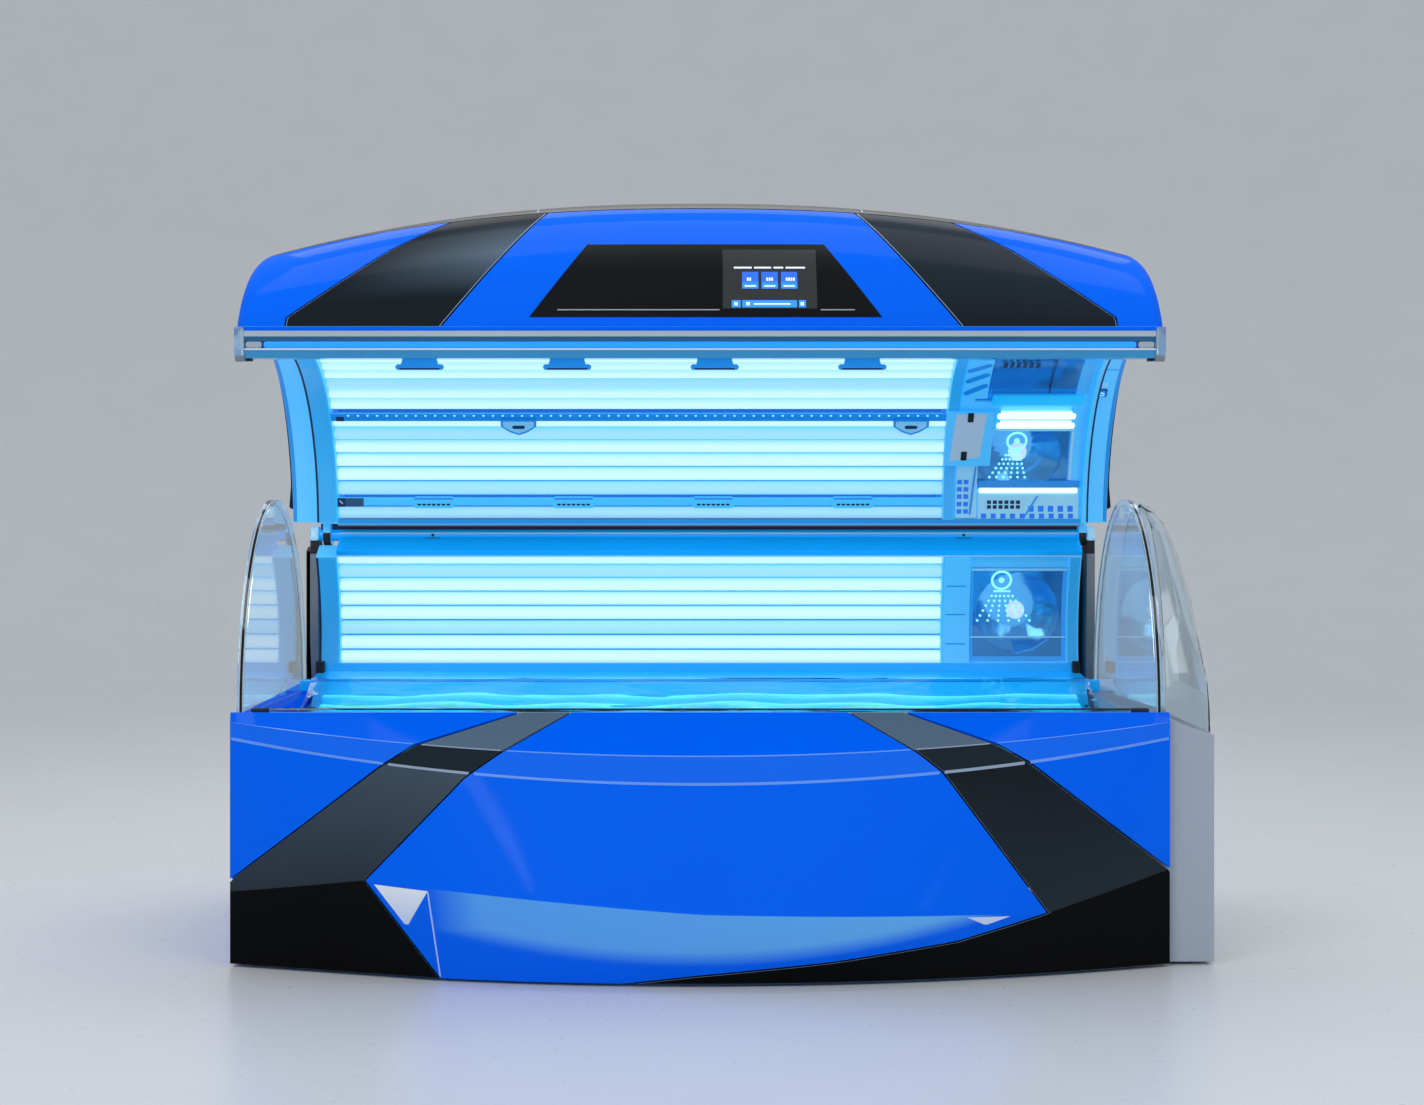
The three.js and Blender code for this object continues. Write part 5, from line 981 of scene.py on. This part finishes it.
def base_tunnel():
    a0, a1 = BASE_START + 0.3, BASE_END - 0.3
    for name, x0, x1, slot, made in (
        ("base_plate_groove", CHEEK_X0, CHEEK_X0 + 6, "black_satin", NAVY_GROOVE_AND_SHADE),
        ("base_plate_band", CHEEK_X0 + 6.5, CHEEK_X1 - 4.5, "white_plastic", BAND_PAINTED_GLOW),
        ("base_plate_line", CHEEK_X1 - 4, CHEEK_X1, "white_plastic", EDGE_LIT),
        ("shoulder_band", PARTITION_X0 + 4, PARTITION_X0 + 74, "white_plastic", PALE_PAINTED_GLOW),
        ("shoulder_line", PARTITION_X0, PARTITION_X0 + 3.6, "white_plastic", EDGE_LIT),
        ("shoulder_edge", HEAD_X1 - 30, HEAD_X1 - 4, "white_plastic", BAND_PAINTED_GLOW),
    ):
        inlay(name, BASE_ARC, TRIM_R, [(x0, x1, a0, a1)], "base", slot, made)
    inlay("shoulder_seams", BASE_ARC, TRIM_R - 0.8,
          [(PARTITION_X0 + 12, PARTITION_X0 + 66, a, a + 0.4) for a in (-2.0, 8.0, 18.0)], "base", "white_plastic", DEEP_TRIM_PAINTED_GLOW)
    burst("shoulder_burst", BASE_ARC, UNIT_R - 5.4, (834, 20.0), (770, 915, 6.0), "base", LED_AND_PAINTED_STREAKS)
    x0, x1 = PARTITION_X0 + 80, HEAD_X1 - 36
    inlay("shoulder_glass_lines", BASE_ARC, UNIT_R - 5.4, [(x0, x1, 0.2, 0.7), (x0, x1, 23.4, 24.2)], "base",
          "white_plastic", SOFT_PAINTED_GLOW)
    low = BASE_START - RAIL_SPAN
    inlay("sill", BASE_ARC, TRIM_R, [(CHEEK_X0, HEAD_X1, low + 0.9, BASE_START + 1.2)], "base", "aluminium_rail", RAIL_PAINTED_GLOW,
          proud=1.2)
    inlay("sill_line", BASE_ARC, TRIM_R, [(CHEEK_X0, HEAD_X1, low + 0.1, low + 0.8)], "base", "white_plastic", WHITE,
          proud=2.0)
    inlay("top_rail_line", BASE_ARC, TRIM_R, [(BANK_X0, HEAD_X1, BASE_END + 0.2, BASE_END + 0.7)], "base",
          "white_plastic", SOFT_PAINTED_GLOW)
    blocks, tabs, latches = Shape(), Shape(), Shape()
    for x0, x1 in ((-1060, -1038), (1030, 1049)):
        block(x0, x1, 150, 181, 648, 690, blocks)
    for side in (-1, 1):
        x0, x1 = sorted((side * 1100, side * 995))
        block(x0, x1, 98, 128, 613, 645, tabs)
        x0, x1 = sorted((side * 1104, side * 1062))
        block(x0, x1, -484, -462, 612.5, 629, latches)
    piece("bench_blocks", blocks, "base", "black_rubber", RUBBER, bevel=3.0)
    piece("bench_tabs", tabs, "base", "blue_gloss", RAIL_PAINTED_GLOW, bevel=5.0)
    piece("bench_latches", latches, "base", "black_rubber", RUBBER, bevel=3.0)


canopy_ends()
canopy_fittings()
head_unit()
hinge_dress()
base_tunnel()

# Bench: a clear curved sheet over its own lamps

BENCH_HALF = 1058.0
BENCH_FRONT = Vector((-484.0, 630.3))
BENCH_REAR = Vector((80.0, 652.0))
BENCH_SAG = 70.0
BENCH_LAMPS = 10
CHORD = BENCH_REAR - BENCH_FRONT
BENCH_R = (CHORD.length_squared / 4 + BENCH_SAG**2) / (2 * BENCH_SAG)
BENCH_ARC = tuple(
    (BENCH_FRONT + BENCH_REAR) / 2 + Vector((-CHORD.y, CHORD.x)).normalized() * (BENCH_R - BENCH_SAG)
)


def bench():
    a0, a1 = (math.degrees(math.atan2(p.y - BENCH_ARC[1], p.x - BENCH_ARC[0])) for p in (BENCH_FRONT, BENCH_REAR))
    shares = spread(0, 1, 48)
    rows = []
    for x in spread(-BENCH_HALF, BENCH_HALF, 160):
        top, under = [], []
        for share in shares:
            inside = math.sin(math.pi * share) * min(1.0, (BENCH_HALF - abs(x)) / 120)
            wave = math.sin(x / 132 + 3.0 * math.sin(share * 6)) + math.sin(x / 58 - share * 12)
            turn = a0 + (a1 - a0) * share
            top.append((x, *on_arc(BENCH_ARC, BENCH_R + 0.2 + 5.0 * inside * (2 + wave), turn)))
            under.append((x, *on_arc(BENCH_ARC, BENCH_R + 4.7 + 20.2 * inside, turn)))
        rows.append(top + under[::-1])
    sheet = Shape().grid(rows, around=True)
    ring = len(rows[0])
    end = ring * (len(rows) - 1)
    for start in (0, end):
        for j in range(len(shares) - 1):
            sheet.faces.append([start + i for i in (j, j + 1, ring - 2 - j, ring - 1 - j)])
    piece("bench_sheet", sheet, "bench", "clear_acrylic", BENCH, replaces=["bench_pane"])
    first = a0 + 8
    pitch = (a1 - first) / BENCH_LAMPS
    lamp_r = BENCH_R + 50
    half = BENCH_HALF - 25
    tubes = Shape()
    for k in range(BENCH_LAMPS):
        y, z = on_arc(BENCH_ARC, lamp_r, first + pitch * k)
        end = half - HOLDER_W
        tubes.lathe([(10, -end - 4), (LAMP_D / 2, -end), (LAMP_D / 2, end), (10, end + 4)], (0, y, z), (1, 0, 0))
        lit = slice(len(tubes.points) - 4 * 24, None)
        tubes.marks[lit] = [max(0.0, 2 * (p[2] - z) / LAMP_D) ** 2 for p in tubes.points[lit]]
    low, high = a0 + 2.5, a1 - 0.4
    tray = Shape().arc_band(BENCH_ARC, lamp_r + 24, lamp_r + 28, low, high, -half, half)
    holders = Shape()
    for x in (-half, half - HOLDER_W):
        holders.arc_band(BENCH_ARC, lamp_r - 6, lamp_r + 23, low, high, x, x + HOLDER_W)
    piece("bench_tubes", tubes, "base", "lamp_glass", BENCH_LAMP, replaces=["bench_lamp_tray"])
    piece("bench_mirror", tray, "base", "reflector", TRAY)
    back = Shape()
    block(4 - BENCH_HALF, BENCH_HALF - 4, 84, 87, 556, 637.5, back)
    piece("bench_back", back, "base", "reflector", AIR_PAINTED_GLOW)
    piece("bench_holders", holders, "base", "white_plastic", PALE_PAINTED_GLOW, bevel=0.8)


bench()

# Base front: rows of (reach, z) from the rim to the hem, bowed forward in the middle

BELLY = [(-FRONT_HALF, 184), (-800, 236), (0, 178), (832, 156), (FRONT_HALF, 240)]
HEM_CORNER_X = -630.0
HEM_REACH = 212.0


def bow(x):
    return 1 - (x / FRONT_HALF) ** 2


def between(line, x):
    """The height of a line of (x, z) points at x."""
    k = 0
    while k < len(line) - 2 and x > line[k + 1][0]:
        k += 1
    (x0, z0), (x1, z1) = line[k], line[k + 1]
    return z0 + (z1 - z0) * (x - x0) / (x1 - x0)


def hem_y(x):
    if x >= HEM_CORNER_X:
        return FRONT_Y - HEM_REACH * bow(x)
    corner = FRONT_Y - HEM_REACH * bow(HEM_CORNER_X)
    return between([(-FRONT_HALF, FRONT_Y), (HEM_CORNER_X, corner)], x)


FRONT_ROWS = [
    lambda x: (RIM_Y, RIM_Z),
    lambda x: (FRONT_Y - 118 * bow(x), 530 + 69 * (1 - bow(x))),
    lambda x: (FRONT_Y - 134 * bow(x), 468 + 94 * (1 - bow(x))),
    lambda x: (FRONT_Y - 250 * bow(x), between(BELLY, x)),
    lambda x: (hem_y(x), HEM_Z),
]


def front(x, v, out=0.0):
    k = min(int(v), len(FRONT_ROWS) - 2)
    (y0, z0), (y1, z1) = FRONT_ROWS[k](x), FRONT_ROWS[k + 1](x)
    return x, y0 + (y1 - y0) * (v - k) - out, z0 + (z1 - z0) * (v - k)


LEFT_OUTER = [(-1210, 168), (-1140, 221), (-775, 498), (-690, 552), (-441, 622), (-376, 642)]
LEFT_INNER = [(-596, -20), (-612, 0), (-800, 236), (-562, 480), (-476, 539), (-316, 622), (-276, 642)]
RIGHT_TOE = [(-400, -20), (-235, 0), (0, 28), (317, 58), (607, 98), (832, 156)]
RIGHT_INNER = RIGHT_TOE + [(583, 490), (520, 539), (365, 622), (328, 642)]
RIGHT_OUTER = [(1210, 192), (1140, 246), (798, 508), (719, 553), (502, 622), (438, 642)]


def front_edge(line, gap):
    def at(v):
        x = along(line, front(0, v)[2])[0]
        for _ in range(40):
            reach, slope = along(line, front(max(-FRONT_HALF, min(FRONT_HALF, x)), v)[2])
            x = (x + reach) / 2
        x += gap * math.hypot(1, slope)
        return max(-FRONT_HALF, min(FRONT_HALF, x))
    return at


FRONT_STEPS = (6, 4, 16, 28)
STEP_EDGE = 0.004


FACET_EDGE = [(-615, 0), (-645, 221)]
# The crescent of painted floor reflection below the belly: where it is lowest, its height there and how fast it rises.
CRESCENT_X, CRESCENT_Z, CRESCENT_CURVE = -20.0, 51.0, 1.95e-4


def blue_painted_light(x, v, z):
    """How pale the blue is, all of it painted light: a faint painted lightening between the creases, and a painted
    reflection of the floor as a crescent below the belly, fading at its lower edge and at the facet on the left.
    """
    if v < 3:
        return 0.04 if 1 <= v < 2 else 0.0
    low = CRESCENT_Z + CRESCENT_CURVE * (x - CRESCENT_X) ** 2
    fade = min(1.0, max(0.0, (z - low) / 38), max(0.0, (x - along(FACET_EDGE, z)[0]) / 120))
    return (0.5 + 0.00012 * x) * fade


# How light the black stripes on the base front are: lightest along the top band, a little lighter between the creases,
# a painted highlight on the left stripe's facet below the creases that fades downward, and a faint painted sheen on the
# right stripe's.
def black_painted_sheen(x, v, z):
    if v < 1:
        return 1.0
    if v < 2:
        return 0.14
    if v < 3:
        return 0.55 - 0.3 * (v - 2) if x < 0 else 0.08 + 0.1 * (v - 2)
    return 0.0


def front_panel(name, left, right, slot, marks, *finishes):
    samples = [0.0]
    for k, n in enumerate(FRONT_STEPS):
        samples += [k + STEP_EDGE] * (k > 0) + [k + i / n for i in range(1, n)] + [k + 1 - STEP_EDGE * (k < 3)]
    wide = [v for v in samples if right(v) - left(v) > 1.0]
    for near, far in ((wide[0], samples[max(samples.index(wide[0]) - 1, 0)]), (wide[-1], samples[-1])):
        if far not in wide:
            for _ in range(24):
                middle = (near + far) / 2
                near, far = (middle, far) if right(middle) - left(middle) > 1.0 else (near, middle)
            wide.append(near)
    rows, values = [], []
    for v in sorted(wide, reverse=True):
        rows.append([front(x, v) for x in spread(left(v), right(v), 48)])
        values += [marks(x, v, z) for x, y, z in rows[-1]]
    piece(name + "_skin", Shape().grid(rows, marks=values), "base", slot, *finishes, replaces=[name], wall=FRONT_WALL,
          bevel=1.8)


def crease(name, v, left, right, slot, made, lift=0.7):
    """A painted highlight: a bright line along a crease between two joints."""
    x0, x1 = left(v) + 3, right(v) - 3
    rows = [[front(x, v + step, lift) for x in spread(x0, x1, 48)] for step in (0.018, -0.018)]
    piece(name, Shape().grid(rows), "base", slot, made, wall=0.9)


def base_front():
    def joint(line, out):
        return front_edge(line, out * HALF_SEAM)

    panels = (
        ("front_corner_left", lambda v: -FRONT_HALF, joint(LEFT_OUTER, -1), BLUE),
        ("front_stripe_left", joint(LEFT_OUTER, 1), joint(LEFT_INNER, -1), STRIPE),
        ("front_center_panel", joint(LEFT_INNER, 1), joint(RIGHT_INNER, -1), BLUE),
        ("front_stripe_right", joint(RIGHT_INNER, 1), joint(RIGHT_OUTER, -1), STRIPE),
        ("front_corner_right", joint(RIGHT_OUTER, 1), lambda v: FRONT_HALF, BLUE),
    )
    for name, left, right, made in panels:
        blue = made is BLUE
        slot = "blue_gloss" if blue else "black_satin"
        front_panel(name, left, right, slot, blue_painted_light if blue else black_painted_sheen, *((BLUE,) if blue else (STRIPE, EDGE)))
        for k in (1, 2):
            crease(f"{name}_crease_{k}", k, left, right, slot, BLUE_HIGHLIGHT_LINE if blue else EDGE)

    edge = joint(LEFT_INNER, 7)
    glints = Shape()
    rows, marks = [], []
    for v in spread(3.46, 3.03, 12):
        x0, z = edge(v), front(-700, v)[2]
        x1 = -645 - 0.56 * (221 - z)
        if x1 - x0 > 2:
            rows.append([front(x, v, 0.6) for x in spread(x0, x1, 4)])
            marks += [1.0 - 0.9 * (v - 3)] * 5
    glints.grid(rows, marks=marks)
    rows = []
    for z in spread(12, 216, 10):
        x = along(FACET_EDGE, z)[0]
        v = 3 + (between(BELLY, x) - z) / (between(BELLY, x) - HEM_Z)
        rows.append([front(x + step, v, 0.6) for step in (-1.8, 1.8)])
    glints.grid(rows, marks=[0.45] * 22)
    rows = [[front(x, v, 0.6) for x in spread(x0, x1, 4)] for x0, x1, v in ((674, 682, 3.15), (632, 737, 3.03))]
    glints.grid(rows, marks=[0.7] * 10)
    piece("front_glint", glints, "base", "blue_gloss", GLINT, wall=0.9)


base_front()


# Back, ends and roof

BACK_Y = 460.0
BACK_TOP_Z = 1004.0
BACK_HALF = HEAD_CHEEK_X1 + 36
HOUSING_X1 = FRONT_HALF + 114


def back_y(z):
    """The y of the rear cover's outer face up to its bend."""
    return BACK_Y - 5 * (z - HEM_Z) / (BACK_TOP_Z - 204 - HEM_Z)


def rear():
    slats = Shape()
    for x in (-640, 0, 640):
        for z in spread(560, 724, 8):
            y = back_y(z) - 0.5
            slats.sweep([(y, z), (y + 6, z + 3), (y + 6, z + 5), (y, z + 14)], x - 150, x + 150)
    piece("rear_slats", slats, "base", "black_satin", BLACK, bevel=0.6)
    seams, screws = Shape(), Shape()
    for x in (-320, 320):
        y0, y1 = back_y(20), back_y(780)
        seams.prism([(y0 - 0.5, 20), (y1 - 0.5, 780), (y1 + 0.7, 780), (y0 + 0.7, 20)],
                    lambda y, z, u: (u, y, z), x - 1.5, x + 1.5)
    for x in (-BACK_HALF + 40, -350, -290, 290, 350, BACK_HALF - 40):
        for z in (60, 420, 770):
            screws.lathe([(8, -0.5), (8, 1.2), (5.5, 2.4), (5.5, 2.0)], (x, back_y(z), z), (0, 1, 0), 16)
    piece("rear_seams", seams, "base", "grey_plastic", EDGE)
    piece("rear_screws", screws, "base", "steel_frame", STEEL)


def roof():
    seams, slots = Shape(), Shape()
    for x in (-420, 420):
        seams.grid([[cover(u, t, 0.5) for u in (x - 1.6, x + 1.6)] for t in spread(CREST_T + 0.1, COVER_LAST - 0.1, 40)])
    for x in (-700, 0, 700):
        for t in spread(7.75, 8.6, 7):
            slots.grid([[cover(u, t + step, 1.0) for u in spread(x - 130, x + 130, 10)] for step in (0.0, 0.055)])
    piece("roof_seams", seams, "canopy", "grey_plastic", EDGE, wall=0.9)
    piece("roof_slots", slots, "canopy", "black_rubber", RUBBER, wall=1.6)


def ends():
    """The left end as a blue cover with a raised field, and lines on the housing at the right."""
    y0, y1 = -487.7, 448.0
    x0, x1, x2 = -FRONT_HALF + 1.2, -BACK_HALF - 1, -FRONT_HALF + 84
    plan = [(x0, y0), (x2, y0), (x2, 174.9), (x1, 174.9), (x1, y1), (x0, y1)]
    left = Shape().prism(plan, lambda x, y, z: (x, y, z), HEM_Z, 611.8)
    piece("end_left_skin", left, "base", "blue_gloss", BLUE, replaces=["end_cover_left"], bevel=3.0)

    right = Shape()
    for x0, ya, yb in ((FRONT_HALF - 84, y0, 174.9), (BACK_HALF + 1, 175.0, y1)):
        outline = [(x0, HEM_Z), (HOUSING_X1 - 1, HEM_Z), (HOUSING_X1 - 1, 565.6), (FRONT_HALF - 28, 611.8), (x0, 611.8)]
        right.prism(outline, lambda x, z, y: (x, y, z), ya, yb)
    piece("housing_skin", right, "base", "grey_plastic", GREY, replaces=["end_housing_right"], bevel=3.0)

    def on_left(u, v, w):
        return -FRONT_HALF + 1.2 - w, u, v

    def on_right(u, v, w):
        return HOUSING_X1 - 1 + w, u, v

    # Painted highlight: a pale blue line round the raised field.
    field = Shape().collar(rounded(y0 + 40, y1 - 40, 90, 560, 24), rounded(y0 + 44, y1 - 44, 94, 556, 21), on_left,
                           -0.5, 0.8)
    piece("end_left_field", field, "base", "blue_gloss", BLUE_HIGHLIGHT_LINE)
    slots, screws = Shape(), Shape()
    for z in spread(150, 240, 5):
        slots.prism(rounded(160, 340, z, z + 8, 3.5), on_left, -0.5, 0.7)
    for y in (y0 + 64, y1 - 64):
        for z in (120, 530):
            screws.prism(disc(y, z, 8, 16), on_left, -0.5, 1.0)
            screws.prism(disc(y, z, 8, 16), on_right, -0.5, 0.8)
    piece("end_left_slots", slots, "base", "black_rubber", RUBBER)
    piece("end_screws", screws, "base", "steel_frame", STEEL)
    lines = Shape()
    for z in spread(180, 280, 5):
        lines.prism(rounded(120, 330, z, z + 8, 3.5), on_right, -0.5, 0.7)
    lines.prism(rounded(y0 + 30, y1 - 30, 470, 473, 1), on_right, -0.5, 0.6)
    piece("housing_slots", lines, "base", "black_rubber", RUBBER)


rear()
roof()
ends()

# Edges of the clear shields

SHIELD_FRONT = Vector((1130.0, -486.0))
SHIELD_REAR = Vector((1092.0, 146.0))
SHELF_Z = 612.0
SHIELD_TOP_Z = 1140.0


def shield_edge(name, side):
    """A polished bead along a shield's rim."""
    middle = (SHIELD_FRONT + SHIELD_REAR) / 2
    run = SHIELD_FRONT - SHIELD_REAR
    reach = run.length / 2
    along_x, along_y = run.normalized()
    rows = []
    for a in spread(0, math.pi, 72):
        row = []
        for off, sunk in ((-8.4, 1.0), (-8.4, -0.2), (-5.4, -0.2), (-5.4, 1.0)):
            s = (reach - sunk) * math.cos(a)
            z = SHELF_Z + FIT + (SHIELD_TOP_Z - SHELF_Z - FIT - sunk) * math.sin(a)
            row.append((side * (middle.x + along_x * s + along_y * -off), middle.y + along_y * s + along_x * off, z))
        rows.append(row)
    shape = Shape().grid(rows, around=True)
    shape.faces += [[0, 1, 2, 3], [4 * 72 + i for i in (3, 2, 1, 0)]]
    piece(name, shape, "base", "clear_acrylic", RIM)


shield_edge("shield_edge_left", -1)
shield_edge("shield_edge_right", 1)

# CAD nodes that show as they are

for names, finishes, bevel in (
    (("base_frame",), (STEEL,), 2.0),
    (("foot_front_left", "foot_front_right", "foot_rear_left", "foot_rear_right"), (RUBBER,), 0.8),
    (("rear_cover",), (BLACK,), 3.0),
    (("base_reflector", "canopy_reflector"), (MIRROR,), 0.0),
    (("base_pane", "canopy_pane"), (PANE,), 0.0),
    (("base_end_plate_left", "shoulder_frame", "face_frame", "canopy_end_plate_left",
      "canopy_end_plate_right", "control_panel"), (PALE_PAINTED_GLOW,), 1.5),
    (("air_rail",), (AIR_PAINTED_GLOW,), 1.0),
    (("base_top_rail", "bench_rear_rail", "hinge_tube"), (RAIL_PAINTED_GLOW,), 1.0),
    (("bench_front_rail",), (ALUMINIUM,), 1.0),
    (("lip_rail",), (TEAL,), 1.0),
    (("lip_cap_left", "lip_cap_right"), (CAP,), 2.0),
    (("light_strip",), (DEEP_TRIM_PAINTED_GLOW,), 1.0),
    (("shoulder_glass", "face_glass"), (SMOKED,), 0.0),
    (("shoulder_reflector", "face_reflector", "face_upper_reflector"), (DISH,), 0.5),
    (("shoulder_lamp", "face_lamp"), (WHITE_LAMP,), 0.0),
    (("hinge_block_left", "hinge_block_right"), (RUBBER,), 2.0),
    (("shield_left", "shield_right", "hood_right"), (CLEAR,), 1.5),
    (("canopy_frame",), (STEEL,), 1.0),
    (("start_button",), (DEEP_TRIM_PAINTED_GLOW,), 0.6),
):
    for node in names:
        dress_node(node, *finishes, bevel=bevel)

# Stage: pale floor and wall, soft light, and the camera at the photograph's angle

IMAGE_W, IMAGE_H = 1424, 1105
AXIS_PX = (700.0, 480.0)  # where the level camera's axis meets the picture
FOCAL_PX = 2107.0
CAMERA_Y = -5660.0
CAMERA_Z = 1191.0


def camera():
    view = bpy.data.cameras.new("view")
    view.sensor_width = 36.0
    view.lens = view.sensor_width * FOCAL_PX / IMAGE_W
    view.shift_x = (IMAGE_W / 2 - AXIS_PX[0]) / IMAGE_W
    view.shift_y = -(IMAGE_H / 2 - AXIS_PX[1]) / IMAGE_W
    eye = bpy.data.objects.new("view", view)
    eye.location = (Vector((0, CAMERA_Y, CAMERA_Z)) + SHIFT) * MM
    eye.rotation_euler = (math.radians(90), 0, 0)
    bpy.context.scene.collection.objects.link(eye)
    bpy.context.scene.camera = eye


def floor():
    """A round floor that rises like a dish towards its rim."""
    flat, reach, rise = 6500.0, 15000.0, 6600.0
    line = [(flat + (reach - flat) * share, rise * share**2) for share in spread(1, 0, 24)]
    turns = spread(0, 2 * math.pi, 96)[:-1]
    shape = Shape().grid([[(r * math.cos(a), r * math.sin(a), z) for a in turns] for r, z in line], around=True)
    shape.faces.append(list(range(len(shape.points)))[-len(turns):])
    mesh = bpy.data.meshes.new("floor")
    mesh.from_pydata([Vector(p) * MM for p in shape.points], [], shape.faces)
    mesh.materials.append(finish("stage_floor", "#dfe1e3", 0.3, vary=0.03, grain=(30, 0.02)))
    for face in mesh.polygons:
        face.use_smooth = True
    thing = bpy.data.objects.new("floor", mesh)
    bpy.context.scene.collection.objects.link(thing)


def area(name, spot, target, size, power):
    light = bpy.data.lights.new(name, "AREA")
    light.shape = "RECTANGLE"
    light.size, light.size_y = size
    light.energy = power
    lamp = bpy.data.objects.new(name, light)
    lamp.location = spot
    lamp.rotation_euler = (Vector(target) - Vector(spot)).to_track_quat("-Z", "Y").to_euler()
    bpy.context.scene.collection.objects.link(lamp)


camera()
floor()
area("key", (-3.2, -4.6, 4.4), (0, 0, 0.9), (3.0, 2.4), 85)
area("fill", (3.8, -4.2, 3.2), (0, 0, 0.8), (2.6, 2.6), 50)
area("top", (0, 0.6, 5.0), (0, 0, 1.0), (4.5, 2.0), 50)
area("back", (0, 2.3, 3.6), (0, 0.2, 1.2), (4.0, 1.0), 30)
world = bpy.data.worlds.new("studio")
world.use_nodes = True
world.node_tree.nodes["Background"].inputs["Color"].default_value = (0.86, 0.9, 0.95, 1)
world.node_tree.nodes["Background"].inputs["Strength"].default_value = 0.66
bpy.context.scene.world = world
bpy.context.scene.view_settings.view_transform = "Standard"
